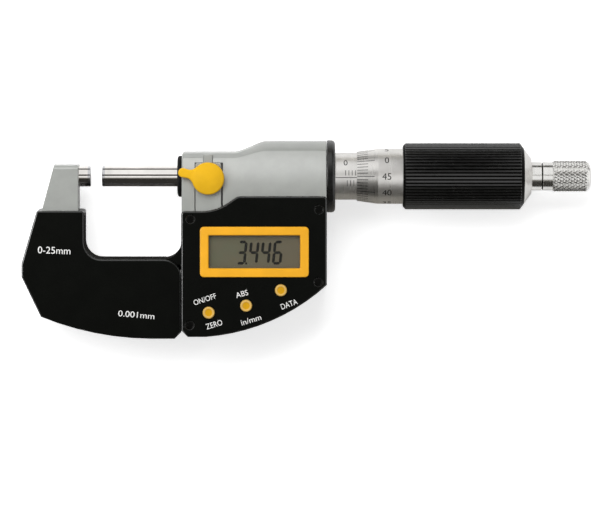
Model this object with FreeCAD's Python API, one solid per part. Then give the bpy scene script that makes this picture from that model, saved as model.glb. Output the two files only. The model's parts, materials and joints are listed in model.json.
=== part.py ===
import FreeCAD, Part
import math
import os

# Digital outside micrometer, 0 to 25 mm, lying on its back with the display up.
# X runs along the spindle from the anvil to the thimble, Y runs across the frame
# towards the spindle side, Z points out of the display.
# The origin is the centre of the anvil's measuring face. Lengths are in mm.

Vector = FreeCAD.Vector
ORIGIN = Vector(0, 0, 0)
X_AXIS = Vector(1, 0, 0)
Z_AXIS = Vector(0, 0, 1)

# Measuring screw
PITCH = 0.5
RANGE = 25.0
OPENING = 3.446
SPINDLE_R = 3.175
THREAD_STEP = 0.325
THREAD_R = SPINDLE_R + THREAD_STEP
THREAD_LEAD = PITCH
THREAD_RELIEF = 0.3
TAPER_LENGTH = 9.0
TAPER_STEP = 0.2
TAPER_DROP = 0.5
TAPER_START_R = THREAD_R - TAPER_STEP
TAPER_END_R = TAPER_START_R - TAPER_DROP
STOP_HOLE = 6.0
STOP_HOLE_SPARE = 1.0
RUN_FIT = 0.05
SLIDE_FIT = 0.15
SEAT_GAP = 0.1
PRESS_FIT = 0.02
TIP_LENGTH = 0.9
TIP_CHAMFER = 0.15

# How far a cutting shape reaches past the surface that it cuts
OVER = 1.0

# Frame arm that carries the anvil
ARM_TOP = 3.55
ARM_INNER_X = -3.66
ARM_LEFT_X = -11.2
ARM_SLOPE = 0.27
ARM_HALF = 4.6
ARM_ROUND = 1.3
ANVIL_DEPTH = 5.5

# Throat and the outline of the frame covers
THROAT_LEFT = -1.9
THROAT_RIGHT = 27.75
THROAT_FLOOR = -25.15
THROAT_R = 5.2
SHOULDER_Y = -10.3
SHOULDER_X = -16.4
HEEL_X = -21.1
HEEL_TOP = -26.5
HEEL_LOW = -30.5
TOE_X = -15.2
TOE_Y = -42.8
BELLY_MID_X = 0.9
BELLY_MID_Y = -47.7
BELLY_X = 18.5
BELLY_Y = -49.55
WEB_Z = 5.2
COVER_T = 1.7
COVER_Z = WEB_Z + COVER_T
COVER_RIM = 1.7
COVER_BEVEL = 0.5
JOINT_NOTCH = 2.0

# Head of the frame, which holds the spindle, lock and encoder
HEAD_STEP = 0.35
HEAD_LEFT = THROAT_RIGHT + HEAD_STEP
HEAD_RIGHT = 72.3
HEAD_LOW = -14.0
HEAD_Z = 11.0
HEAD_FLAT_Y = -6.0
HEAD_TOP_LEFT = 7.4
HEAD_TOP_HALF = 6.0
CREASE_LEFT = 6.15
CREASE_RIGHT = 8.15
BARREL_R = 10.87
SLOPE_START = 44.8
SLOPE_END = 52.8
BUSH_R = 5.2
BUSH_END = 52.0
BUSH_COLLAR = 1.0
COLLAR_PLAY = 1.0
CAVITY_R = 8.8
CAVITY_START = BUSH_END + BUSH_COLLAR

# Seal cap round the spindle
CAP_LENGTH = 1.5
CAP_LEFT = HEAD_LEFT - CAP_LENGTH
CAP_R = 6.3
CAP_NECK_PLAY = 0.4
CAP_NECK_R = BUSH_R - CAP_NECK_PLAY
CAP_NECK = 2.6
CAP_LIP = 0.5
CAP_BEVEL = 0.4
CAP_NECK_WALL = 0.3
WIPER_R = CAP_NECK_R - CAP_NECK_WALL
WIPER_WIDTH = 0.9

# Display unit
UNIT_LEFT = THROAT_RIGHT + 2 * SEAT_GAP
UNIT_RIGHT = HEAD_RIGHT + SEAT_GAP
UNIT_TOP_LOW = -10.0
UNIT_TOP_HIGH = -5.45
UNIT_CORNER = 1.1
SWEEP_START = 34.2
SWEEP_R = 14.0
SWEEP_ANGLE = 34.0
SWEEP_TOP_R = 3.0
UNIT_SIDE_LOW = -32.6
UNIT_MID_X = 55.0
UNIT_MID_Y = -43.75
UNIT_BOTTOM_X = 35.5
UNIT_BOTTOM_Y = -48.5
PLATE_GAP = 0.1
PLATE_T = 1.1
UNIT_Z = HEAD_Z + PLATE_GAP + PLATE_T
UNIT_WALL = 1.6
UNIT_FACE_WALL = 1.8
UNIT_BEVEL = 0.6
GASKET_HALF = 0.4

# Display
BEZEL_X = 50.3
BEZEL_Y = -22.4
WINDOW_W = 27.8
WINDOW_H = 10.6
BEZEL_SIDE = 2.7
BEZEL_RAIL = 2.4
BEZEL_W = WINDOW_W + 2 * BEZEL_SIDE
BEZEL_H = WINDOW_H + 2 * BEZEL_RAIL
BEZEL_R = 1.2
BEZEL_PROUD = 0.7
BEZEL_LIP = 1.0
BEZEL_DEPTH = 1.2
BEZEL_FOOT = UNIT_Z - BEZEL_DEPTH
WINDOW_R = 0.4
WINDOW_REBATE = 0.6
WINDOW_SINK = 0.35
WINDOW_TOP = UNIT_Z - WINDOW_SINK
WINDOW_T = 0.7
LCD_T = 1.0
STRIP_T = 1.15
BOARD_T = 1.6
BOARD_TOP = WINDOW_TOP - WINDOW_T - LCD_T - STRIP_T
BOARD_GAP = 0.6
STRIP_HALF = 0.8

# Posts of the circuit board, as x, y
BOARD_POSTS = [(34.0, -20.0), (67.0, -20.0), (64.0, -33.5), (34.0, -44.0)]
POST_W = 2.2

# Buttons, as name, x, y
BUTTONS = [("zero", 36.33, -40.97), ("abs", 47.77, -38.83), ("data", 58.38, -34.12)]
BUTTON_R = 1.8
BUTTON_PROUD = 1.0
BUTTON_FLANGE = 0.5
BUTTON_FLANGE_T = 0.35
BUTTON_TRAVEL = 0.45
BUTTON_DISH_R = 1.1
BUTTON_DISH = 0.15
BUTTON_BEVEL = 0.2
MEMBRANE_T = 0.2
DOME_R = 1.25

# Screws of the display unit, as x, y
UNIT_SCREWS = [(30.8, -12.4), (70.0, -9.4), (69.8, -31.6), (30.5, -44.9)]
SCREW_HEAD_R = 1.3
SCREW_HEAD_T = 0.6
SCREW_R = 0.8
SCREW_LENGTH = 8.0
SCREW_RECESS = 0.4
BOSS_R = 2.3

# Lock
LOCK_X = 36.2
HUB_R = 4.95
HUB_GAP = 0.15
HUB_EDGE = 1.75
HUB_RISE = 1.1
HUB_Z0 = HEAD_Z + HUB_GAP
HUB_EDGE_Z = HUB_Z0 + HUB_EDGE
HUB_TOP_Z = HUB_EDGE_Z + HUB_RISE
POINTER_REACH = 9.3
POINTER_ANGLE = 167.0
POINTER_R = 1.35
POINTER_ROOT = 2.1
POINTER_BEVEL = 0.4
POINTER_SINK = 0.99
BLOCK_BEFORE = 3.9
BLOCK_AFTER = 4.0
BLOCK_LEFT = LOCK_X - BLOCK_BEFORE
BLOCK_RIGHT = LOCK_X + BLOCK_AFTER
BLOCK_LOW = -12.8
BLOCK_TOP = 4.6
BLOCK_FLOOR = 0.8
BLOCK_Z0 = BUSH_R + BLOCK_FLOOR
BLOCK_SLIT = 0.35
TAB_BEFORE = 1.4
TAB_AFTER = 1.3
TAB_SINK = 0.2
TAB_STEP = 1.0
TAB_T = 2.0
TAB_LEFT = LOCK_X - TAB_BEFORE
TAB_RIGHT = LOCK_X + TAB_AFTER
TAB_TOP = HEAD_TOP_LEFT - TAB_SINK
TAB_Z0 = BLOCK_Z0 + TAB_STEP
TAB_Z1 = TAB_Z0 + TAB_T
LOCK_PIN_R = 1.95
SHOE_T = 1.1

# Encoder, set along the spindle from the floor of its cavity
STATOR_GAP = 0.3
ROTOR_GAP = 0.7
RETAINER_GAP = 0.2
CAVITY_GAP = 0.4
STATOR_X = CAVITY_START + STATOR_GAP
STATOR_T = 1.8
ROTOR_X = STATOR_X + STATOR_T + ROTOR_GAP
ROTOR_DISC_T = 1.6
ROTOR_PLAY = 0.9
ROTOR_R = CAVITY_R - ROTOR_PLAY
ROTOR_HUB_WALL = 1.425
ROTOR_HUB_R = SPINDLE_R + ROTOR_HUB_WALL
ROTOR_LENGTH = 5.8
ROTOR_END = ROTOR_X + ROTOR_LENGTH
RETAINER_X = ROTOR_END + RETAINER_GAP
RETAINER_T = 1.8
CAVITY_END = RETAINER_X + RETAINER_T + CAVITY_GAP
KEY_INSET = 1.8
KEY_X = ROTOR_END - KEY_INSET
KEY_HALF = 0.5
KEY_DEPTH = 0.7

# Sleeve, nut and flange
FLANGE_T = 2.6
FLANGE_RIGHT = HEAD_RIGHT + SEAT_GAP + FLANGE_T
FLANGE_PROUD = 0.23
FLANGE_R = BARREL_R + FLANGE_PROUD
FLANGE_ROUND = 1.2
SLEEVE_R = 7.2
SLEEVE_WALL = 1.2
SLEEVE_BORE = SLEEVE_R - SLEEVE_WALL
SLEEVE_GAP = 0.2
SLEEVE_LEFT = CAVITY_END + SLEEVE_GAP
ZERO_STEP = 3.15
ZERO_X = FLANGE_RIGHT + ZERO_STEP
SLEEVE_SPARE = 2.85
NUT_INSET = 1.8
NUT_LEFT = SLEEVE_LEFT + NUT_INSET
NUT_THREAD_LENGTH = 16.0
NUT_SPARE = 4.0
ADJUST_STEP = 0.3
ADJUST_R = SLEEVE_R - ADJUST_STEP

# Thimble and grip
THIMBLE_BEVEL = 6.45
THIMBLE_LIP = 0.2
THIMBLE_RISE = 0.91
THIMBLE_EDGE_R = SLEEVE_R + SLIDE_FIT + THIMBLE_LIP
THIMBLE_R = THIMBLE_EDGE_R + THIMBLE_RISE
THIMBLE_BARE = 14.154
GRIP_LEFT = ZERO_X + OPENING + THIMBLE_BARE
GRIP_LENGTH = 37.15
GRIP_RIGHT = GRIP_LEFT + GRIP_LENGTH
GRIP_FIT = 0.04
GRIP_WALL = 1.22
RIB_DEPTH = 0.46
GRIP_BORE = THIMBLE_R + GRIP_FIT
GRIP_ROOT_R = GRIP_BORE + GRIP_WALL
GRIP_R = GRIP_ROOT_R + RIB_DEPTH
GRIP_RIBS = 60
GRIP_LEFT_CHAMFER = 0.85
GRIP_RIGHT_CHAMFER = 1.2
GRIP_END_STEP = 0.1
GRIP_END_R = GRIP_BORE + GRIP_END_STEP
NOSE_LENGTH = 2.3
NOSE_RIGHT = GRIP_RIGHT + NOSE_LENGTH
NOSE_WALL = 1.96
NOSE_PLUG_R = THIMBLE_R - NOSE_WALL
NOSE_PLUG = 4.0
END_CLEARANCE = 1.1

# Friction stop at the end of the thimble
STEM_R = 4.35
NOSE_STEP = 1.05
NOSE_R = STEM_R + NOSE_STEP
STEM_LENGTH = 6.5
STEM_GROOVE_AT = 3.3
STEM_GROOVE_DEPTH = 0.4
STEM_GROOVE_X = NOSE_RIGHT + STEM_GROOVE_AT
STEM_GROOVE_R = STEM_R - STEM_GROOVE_DEPTH
STEM_GROOVE_W = 0.45
KNOB_LENGTH = 10.7
KNOB_STEP = 0.41
KNOB_DOME = 1.3
KNOB_LEFT = NOSE_RIGHT + STEM_LENGTH
KNOB_RIGHT = KNOB_LEFT + KNOB_LENGTH
KNOB_R = STEM_R + KNOB_STEP
KNOB_WALL_INSET = 4.8
KNOB_WALL_X = KNOB_RIGHT - KNOB_WALL_INSET
KNOB_WALL = 1.8
STEM_WALL = 0.95
KNOB_BORE_R = STEM_R - STEM_WALL
KNOB_LEAD = 0.3
KNOB_CAP_PLUG = 0.9

# Rim of the knob's cap, as rise and inset in shares of its height
KNOB_CAP_RIM = [(0.4, 0.3), (0.8, 1.0), (1.0, 1.8)]

# Screw and spring inside the knob
STOP_SCREW_R = 1.5
STOP_HEAD_PLAY = 0.6
STOP_HEAD_R = KNOB_BORE_R - STOP_HEAD_PLAY
STOP_HEAD_T = 1.6
STOP_SLOT = 0.6
STOP_SLOT_HALF = 0.4
SPRING_R = (KNOB_BORE_R + STOP_SCREW_R) / 2
SPRING_WIRE = 0.35
SPRING_TURNS = 4
FRICTION_T = 0.8

# Battery and data port on the back
BATTERY_X = 43.5
BATTERY_Y = -30.5
BATTERY_R = 5.8
CUP_WALL = 1.6
CAP_RADIUS = BATTERY_R + CUP_WALL
CAP_FLANGE = 0.8
CAP_FLANGE_R = CAP_RADIUS + CAP_FLANGE
CAP_FLANGE_T = 0.7
CAP_DEPTH = 1.5
BATTERY_T = UNIT_Z - CAP_DEPTH - WEB_Z - 3 * SEAT_GAP
COIN_SLOT_W = 1.6
COIN_SLOT_L = 10.5
COIN_SLOT_DEPTH = 0.8
PORT_X = 62.0
PORT_Y = -22.0
PORT_W = 9.0
PORT_H = 14.0
PORT_T = 1.0
PORT_R = 1.0
PORT_HOLE_SIDE = 1.2
PORT_HOLE_R = 0.6
PORT_SCREW_PITCH = 10.4
PORT_SCREW_R = 0.4
PORT_SCREW_LENGTH = 1.3
PORT_HEAD_R = 0.85
PORT_HEAD_T = 0.4


def box(x0, x1, y0, y1, z0, z1):
    return Part.makeBox(x1 - x0, y1 - y0, z1 - z0, Vector(x0, y0, z0))


def rod(radius, x0, x1):
    """Round bar on the spindle axis."""
    return Part.makeCylinder(radius, x1 - x0, Vector(x0, 0, 0), X_AXIS)


def pin(radius, x, y, z0, z1):
    """Round bar along Z."""
    return Part.makeCylinder(radius, z1 - z0, Vector(x, y, z0), Z_AXIS)


def turned(points):
    """Solid of revolution on the spindle axis from a closed list of (x, radius)."""
    ring = [Vector(x, r, 0) for x, r in points]
    face = Part.Face(Part.makePolygon(ring + ring[:1]))
    return face.revolve(ORIGIN, X_AXIS, 360)


def ring(x0, x1, bore, outer):
    """Plain tube on the spindle axis."""
    return turned([(x0, bore), (x0, outer), (x1, outer), (x1, bore)])


def outline(start, steps):
    """Closed face in XY. A step is a point for a line, or (middle, end) for an arc."""
    edges = []
    here = Vector(start[0], start[1], 0)
    for step in list(steps) + [start]:
        if isinstance(step[0], tuple):
            middle = Vector(step[0][0], step[0][1], 0)
            there = Vector(step[1][0], step[1][1], 0)
            edges.append(Part.Arc(here, middle, there).toShape())
        else:
            there = Vector(step[0], step[1], 0)
            if there.distanceToPoint(here) > 1e-6:
                edges.append(Part.makeLine(here, there))
        here = there
    return Part.Face(Part.Wire(edges))


def round_point(centre, radius, degrees):
    angle = math.radians(degrees)
    return (centre[0] + radius * math.cos(angle), centre[1] + radius * math.sin(angle))


def prism(face, z0, z1):
    """Extrude a face drawn in XY from z0 to z1."""
    base = face.copy()
    base.translate(Vector(0, 0, z0))
    return base.extrude(Vector(0, 0, z1 - z0))


def grown(face, distance):
    """The face's outline offset outwards, or inwards when distance is negative."""
    wire = face.OuterWire.makeOffset2D(distance, 2)
    return Part.Face(wire)


def rounded_rectangle(cx, cy, width, height, radius):
    x0 = cx - width / 2
    x1 = cx + width / 2
    y0 = cy - height / 2
    y1 = cy + height / 2
    r = radius
    return outline((x0 + r, y0), [
        (x1 - r, y0), (round_point((x1 - r, y0 + r), r, -45), (x1, y0 + r)),
        (x1, y1 - r), (round_point((x1 - r, y1 - r), r, 45), (x1 - r, y1)),
        (x0 + r, y1), (round_point((x0 + r, y1 - r), r, 135), (x0, y1 - r)),
        (x0, y0 + r), (round_point((x0 + r, y0 + r), r, 225), (x0 + r, y0))])


def edges_at_z(shape, z):
    """Edges that lie wholly at one height."""
    found = []
    for edge in shape.Edges:
        low = edge.BoundBox.ZMin
        high = edge.BoundBox.ZMax
        if abs(low - z) < 1e-4 and abs(high - z) < 1e-4:
            found.append(edge)
    return found


def flipped(shape):
    """The same shape on the back, mirrored in the plane of the frame."""
    return shape.mirror(ORIGIN, Z_AXIS)


def cover_face(right=THROAT_RIGHT):
    """Outline of the black covers on the bow of the frame."""
    r = THROAT_R
    left_centre = (THROAT_LEFT + r, THROAT_FLOOR + r)
    right_centre = (right - r, THROAT_FLOOR + r)
    return outline((SHOULDER_X, SHOULDER_Y), [
        (THROAT_LEFT, SHOULDER_Y), (THROAT_LEFT, THROAT_FLOOR + r),
        (round_point(left_centre, r, 225), (THROAT_LEFT + r, THROAT_FLOOR)),
        (right - r, THROAT_FLOOR),
        (round_point(right_centre, r, 315), (right, THROAT_FLOOR + r)),
        (right, BELLY_Y + JOINT_NOTCH), (right - JOINT_NOTCH, BELLY_Y),
        (BELLY_X, BELLY_Y), ((BELLY_MID_X, BELLY_MID_Y), (TOE_X, TOE_Y)),
        (HEEL_X, HEEL_LOW), (HEEL_X, HEEL_TOP)])


def unit_face():
    """Outline of the display unit, with the swept step in its top edge."""
    r = UNIT_CORNER
    angle = math.radians(SWEEP_ANGLE)
    low_centre = (SWEEP_START, UNIT_TOP_LOW + SWEEP_R)
    low_middle = round_point(low_centre, SWEEP_R, -90 + SWEEP_ANGLE / 2)
    low_end = round_point(low_centre, SWEEP_R, -90 + SWEEP_ANGLE)
    rise = UNIT_TOP_HIGH - SWEEP_TOP_R * (1 - math.cos(angle)) - low_end[1]
    top_start = (low_end[0] + rise / math.tan(angle), low_end[1] + rise)
    top_centre = (top_start[0] + SWEEP_TOP_R * math.sin(angle), UNIT_TOP_HIGH - SWEEP_TOP_R)
    top_middle = round_point(top_centre, SWEEP_TOP_R, 90 + SWEEP_ANGLE / 2)
    return outline((UNIT_LEFT, UNIT_TOP_LOW - r), [
        (round_point((UNIT_LEFT + r, UNIT_TOP_LOW - r), r, 135), (UNIT_LEFT + r, UNIT_TOP_LOW)),
        (SWEEP_START, UNIT_TOP_LOW), (low_middle, low_end),
        top_start, (top_middle, (top_centre[0], UNIT_TOP_HIGH)),
        (UNIT_RIGHT - r, UNIT_TOP_HIGH),
        (round_point((UNIT_RIGHT - r, UNIT_TOP_HIGH - r), r, 45), (UNIT_RIGHT, UNIT_TOP_HIGH - r)),
        (UNIT_RIGHT, UNIT_SIDE_LOW),
        ((UNIT_MID_X, UNIT_MID_Y), (UNIT_BOTTOM_X, UNIT_BOTTOM_Y)),
        (UNIT_LEFT + JOINT_NOTCH, UNIT_BOTTOM_Y), (UNIT_LEFT, UNIT_BOTTOM_Y + JOINT_NOTCH)])


def web_blank(play, z):
    """The frame's flat web under the covers and the display unit, grown by play."""
    bow = prism(grown(cover_face(), play - COVER_RIM), -z, z)
    tongue = prism(grown(unit_face(), play - UNIT_WALL - SEAT_GAP), -z, z)
    bridge = box(THROAT_RIGHT - 2 * COVER_RIM, UNIT_LEFT + 2 * UNIT_WALL,
                 BELLY_Y + 2 * JOINT_NOTCH - play, THROAT_FLOOR - COVER_RIM, -z, z)
    strip_face = cover_face().common(
        box(THROAT_LEFT - OVER, THROAT_RIGHT + OVER, THROAT_FLOOR - 2 * COVER_RIM - play,
            THROAT_FLOOR + THROAT_R, -OVER, OVER))
    strip = prism(strip_face.Faces[0], -z, z)
    return bow.fuse([tongue, bridge, strip])


def arm_blank(play):
    left_low = ARM_LEFT_X - ARM_SLOPE * (ARM_TOP - SHOULDER_Y)
    foot = SHOULDER_Y - 2 * COVER_RIM
    face = outline((ARM_INNER_X + play, foot), [
        (ARM_INNER_X + play, ARM_TOP), (ARM_LEFT_X - play, ARM_TOP),
        (left_low - play, SHOULDER_Y), (left_low - play, foot)])
    return prism(face, -ARM_HALF - play, ARM_HALF + play)


def head_front_radius():
    """Radius of the bulged front, which is level at HEAD_FLAT_Y and meets the barrel."""
    barrel_z = math.sqrt(BARREL_R ** 2 - CREASE_RIGHT ** 2)
    run = CREASE_RIGHT - HEAD_FLAT_Y
    drop = HEAD_Z - barrel_z
    return (run ** 2 + drop ** 2) / (2 * drop)


def head_front_z(y):
    radius = head_front_radius()
    return HEAD_Z - radius + math.sqrt(radius ** 2 - (y - HEAD_FLAT_Y) ** 2)


def head_section(crease, top, half_top):
    """Section of the head across X, drawn with its Y as x and its Z as y."""
    middle_y = (HEAD_FLAT_Y + crease) / 2
    front = (middle_y, head_front_z(middle_y))
    edge = (crease, head_front_z(crease))
    back = (middle_y, -front[1])
    return outline((HEAD_LOW, HEAD_Z), [
        (HEAD_FLAT_Y, HEAD_Z), (front, edge), (top, half_top), (top, -half_top),
        (crease, -edge[1]), (back, (HEAD_FLAT_Y, -HEAD_Z)), (HEAD_LOW, -HEAD_Z)])


def extrude_x(face, x0, x1):
    """Extrude a face drawn as (Y, Z) along X."""
    solid = face.extrude(Vector(0, 0, x1 - x0))
    solid.rotate(ORIGIN, Vector(1, 1, 1), 120)
    solid.translate(Vector(x0, 0, 0))
    return solid


def head_blank():
    left = extrude_x(head_section(CREASE_LEFT, HEAD_TOP_LEFT, HEAD_TOP_HALF), HEAD_LEFT, SLOPE_END)
    barrel_z = math.sqrt(BARREL_R ** 2 - CREASE_RIGHT ** 2)
    right_face = head_section(CREASE_RIGHT - 0.01, CREASE_RIGHT, barrel_z - 0.01)
    right = extrude_x(right_face, SLOPE_START, HEAD_RIGHT)
    limit = outline((SLOPE_START, HEAD_LOW), [
        (HEAD_RIGHT, HEAD_LOW), (HEAD_RIGHT, CREASE_RIGHT), (SLOPE_END, CREASE_RIGHT),
        (SLOPE_START, CREASE_LEFT)])
    right = right.common(prism(limit, -2 * HEAD_Z, 2 * HEAD_Z))
    barrel = turned([(SLOPE_START, 0), (SLOPE_START, HEAD_TOP_LEFT), (SLOPE_END, BARREL_R),
                     (HEAD_RIGHT, BARREL_R), (HEAD_RIGHT, 0)])
    return left.fuse([right, barrel])


def lock_block_blank(play):
    body = box(BLOCK_LEFT - play, BLOCK_RIGHT + play, BLOCK_LOW - play, BLOCK_TOP + play,
               BLOCK_Z0, HEAD_Z)
    tab = box(TAB_LEFT - play / 2, TAB_RIGHT + play / 2, BLOCK_TOP - OVER, TAB_TOP,
              TAB_Z0, HEAD_Z)
    return body.fuse(tab)


def frame():
    """Forged bow, web and head in one piece."""
    arm = arm_blank(0)
    top_edges = [e for e in arm.Edges
                 if e.BoundBox.YMin > ARM_TOP - 1e-4 and e.BoundBox.XLength > 1]
    arm = arm.makeFillet(ARM_ROUND, top_edges)
    body = web_blank(0, WEB_Z).fuse([arm, head_blank()])
    bores = turned([(HEAD_LEFT - OVER, 0), (HEAD_LEFT - OVER, BUSH_R), (BUSH_END, BUSH_R),
                    (BUSH_END, SPINDLE_R + COLLAR_PLAY), (CAVITY_START, SPINDLE_R + COLLAR_PLAY),
                    (CAVITY_START, CAVITY_R), (CAVITY_END, CAVITY_R), (CAVITY_END, SLEEVE_R),
                    (HEAD_RIGHT + OVER, SLEEVE_R), (HEAD_RIGHT + OVER, 0)])
    anvil_hole = rod(SPINDLE_R, ARM_INNER_X - ANVIL_DEPTH, ARM_INNER_X + OVER)
    pin_hole = pin(LOCK_PIN_R + RUN_FIT, LOCK_X, 0, SPINDLE_R, HEAD_Z + OVER)
    cuts = [bores, anvil_hole, pin_hole, lock_block_blank(BLOCK_SLIT)]
    for x, y in UNIT_SCREWS:
        depth = UNIT_Z - SCREW_RECESS - SCREW_HEAD_T - SCREW_LENGTH
        cuts.append(pin(SCREW_R, x, y, depth, HEAD_Z + OVER))
        cuts.append(flipped(pin(SCREW_R, x, y, depth, HEAD_Z + OVER)))
    return body.cut(cuts).removeSplitter()


def bow_cover():
    """Black cover half over the front of the bow."""
    body = prism(cover_face(), SEAT_GAP / 2, COVER_Z)
    body = body.makeChamfer(COVER_BEVEL, edges_at_z(body, COVER_Z))
    pocket = web_blank(SEAT_GAP, WEB_Z + SEAT_GAP).fuse(arm_blank(SEAT_GAP))
    return body.cut(pocket)


def shell_blank():
    """Moulded half of the display unit, open towards the frame."""
    face = unit_face()
    body = prism(face, GASKET_HALF, UNIT_Z)
    body = body.makeChamfer(UNIT_BEVEL, edges_at_z(body, UNIT_Z))
    inside = prism(grown(face, -UNIT_WALL), 0, UNIT_Z - UNIT_FACE_WALL)
    low = box(UNIT_LEFT - OVER, UNIT_RIGHT + OVER, UNIT_BOTTOM_Y - OVER, HEAD_LOW - SEAT_GAP - UNIT_WALL,
              0, UNIT_Z)
    bosses = []
    screws = []
    for x, y in UNIT_SCREWS:
        seat = WEB_Z + SEAT_GAP
        bosses.append(pin(BOSS_R, x, y, seat, UNIT_Z - UNIT_FACE_WALL))
        screws.append(pin(SCREW_R + SEAT_GAP, x, y, 0, UNIT_Z + OVER))
        screws.append(pin(SCREW_HEAD_R + SEAT_GAP, x, y,
                          UNIT_Z - SCREW_RECESS - SCREW_HEAD_T, UNIT_Z + OVER))
    pocket = inside.common(low).cut(bosses)
    head_room = box(UNIT_LEFT - OVER, UNIT_RIGHT + OVER, HEAD_LOW - SEAT_GAP, BARREL_R,
                    0, HEAD_Z + PLATE_GAP)
    bridge = box(UNIT_LEFT - OVER, UNIT_LEFT + 2 * UNIT_WALL,
                 BELLY_Y + 2 * JOINT_NOTCH - SEAT_GAP, THROAT_FLOOR - COVER_RIM + SEAT_GAP,
                 0, WEB_Z + SEAT_GAP)
    neck = box(UNIT_LEFT + UNIT_WALL, UNIT_RIGHT - UNIT_WALL, HEAD_LOW - 2 * UNIT_WALL,
               HEAD_LOW, 0, WEB_Z + SEAT_GAP)
    return body.cut([pocket, head_room, bridge, neck] + screws)


def front_panel():
    """Front shell with the display opening and three button holes."""
    body = shell_blank()
    play = 2 * SEAT_GAP - 2 * BEZEL_LIP
    opening = prism(rounded_rectangle(BEZEL_X, BEZEL_Y, BEZEL_W + play, BEZEL_H + play, BEZEL_R),
                    0, UNIT_Z + OVER)
    holes = [pin(BUTTON_R + SEAT_GAP, x, y, 0, UNIT_Z + OVER) for name, x, y in BUTTONS]
    return body.cut([opening] + holes)


def back_shell():
    """Back shell with the battery well and the data port recess."""
    body = shell_blank()
    seat_z = UNIT_Z - CAP_FLANGE_T
    well = pin(CAP_RADIUS + SEAT_GAP, BATTERY_X, BATTERY_Y, 0, UNIT_Z + OVER)
    seat = pin(CAP_FLANGE_R + SEAT_GAP, BATTERY_X, BATTERY_Y, seat_z, UNIT_Z + OVER)
    port = rounded_rectangle(PORT_X, PORT_Y, PORT_W + 2 * SEAT_GAP, PORT_H + 2 * SEAT_GAP, PORT_R)
    port_seat = prism(port, UNIT_Z - PORT_T, UNIT_Z + OVER)
    port_hole = prism(port_opening(SEAT_GAP), 0, UNIT_Z)
    cuts = [well, seat, port_seat, port_hole]
    for y in port_screw_rows():
        cuts.append(pin(PORT_SCREW_R, PORT_X, y, UNIT_Z - UNIT_FACE_WALL - SEAT_GAP, UNIT_Z))
    return flipped(body.cut(cuts))


def port_opening(play):
    """Outline of the data socket, grown by play."""
    width = PORT_W - 2 * PORT_HOLE_SIDE - 2 * SEAT_GAP + 2 * play
    height = PORT_H / 2 - 2 * SEAT_GAP + 2 * play
    return rounded_rectangle(PORT_X, PORT_Y, width, height, PORT_HOLE_R)


def port_screw_rows():
    return [PORT_Y - PORT_SCREW_PITCH / 2, PORT_Y + PORT_SCREW_PITCH / 2]


def unit_gasket():
    """Rubber seal between the two shells."""
    face = unit_face()
    ring = prism(face, -GASKET_HALF, GASKET_HALF)
    ring = ring.cut(prism(grown(face, -UNIT_WALL), -OVER, OVER))
    head_room = box(UNIT_LEFT - OVER, UNIT_RIGHT + OVER, HEAD_LOW - SEAT_GAP, BARREL_R, -OVER, OVER)
    bridge = box(UNIT_LEFT - OVER, UNIT_LEFT + 2 * UNIT_WALL,
                 BELLY_Y + 2 * JOINT_NOTCH - SEAT_GAP, THROAT_FLOOR - COVER_RIM + SEAT_GAP, -OVER, OVER)
    return ring.cut([head_room, bridge])


def flat_screw(x, y, top, head_r, head_t, shank_r, length):
    """Flat-headed screw along Z, head up."""
    under = top - head_t
    return pin(head_r, x, y, under, top).fuse(pin(shank_r, x, y, under - length, under))


def unit_screws():
    top = UNIT_Z - SCREW_RECESS
    return [flat_screw(x, y, top, SCREW_HEAD_R, SCREW_HEAD_T, SCREW_R, SCREW_LENGTH)
            for x, y in UNIT_SCREWS]


def display_bezel():
    """Yellow frame that drops into the panel's opening."""
    flange = prism(rounded_rectangle(BEZEL_X, BEZEL_Y, BEZEL_W, BEZEL_H, BEZEL_R),
                   UNIT_Z, UNIT_Z + BEZEL_PROUD)
    flange = flange.makeChamfer(BEZEL_PROUD / 3, edges_at_z(flange, UNIT_Z + BEZEL_PROUD))
    foot = prism(rounded_rectangle(BEZEL_X, BEZEL_Y, BEZEL_W - 2 * BEZEL_LIP,
                                   BEZEL_H - 2 * BEZEL_LIP, BEZEL_R), BEZEL_FOOT, UNIT_Z)
    window = rounded_rectangle(BEZEL_X, BEZEL_Y, WINDOW_W, WINDOW_H, WINDOW_R)
    rebate = grown_rectangle(WINDOW_REBATE + SEAT_GAP)
    return flange.fuse(foot).cut([prism(window, 0, UNIT_Z + OVER), prism(rebate, 0, WINDOW_TOP)])


def grown_rectangle(margin):
    return rounded_rectangle(BEZEL_X, BEZEL_Y, WINDOW_W + 2 * margin, WINDOW_H + 2 * margin, WINDOW_R)


def display_window():
    return prism(grown_rectangle(WINDOW_REBATE), WINDOW_TOP - WINDOW_T, WINDOW_TOP)


def lcd_cell():
    top = WINDOW_TOP - WINDOW_T
    return prism(grown_rectangle(WINDOW_REBATE), top - LCD_T, top)


def lcd_connectors():
    """Two contact strips between the display cell and the circuit board."""
    top = WINDOW_TOP - WINDOW_T - LCD_T
    strips = []
    for side in (-1, 1):
        y = BEZEL_Y + side * WINDOW_H / 2
        strips.append(box(BEZEL_X - WINDOW_W / 2, BEZEL_X + WINDOW_W / 2,
                          y - STRIP_HALF, y + STRIP_HALF, BOARD_TOP, top))
    return strips


def circuit_board():
    face = grown(unit_face(), -UNIT_WALL - BOARD_GAP)
    board = prism(face, BOARD_TOP - BOARD_T, BOARD_TOP)
    keep = box(UNIT_LEFT, UNIT_RIGHT, UNIT_BOTTOM_Y, HEAD_LOW - UNIT_WALL - BOARD_GAP, 0, UNIT_Z)
    board = board.common(keep)
    return board.cut([pin(BOSS_R + SEAT_GAP, x, y, 0, UNIT_Z) for x, y in UNIT_SCREWS])


def board_posts():
    """Spacers that carry the circuit board on the frame's web."""
    half = POST_W / 2
    return [box(x - half, x + half, y - half, y + half, WEB_Z, BOARD_TOP - BOARD_T)
            for x, y in BOARD_POSTS]


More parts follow.
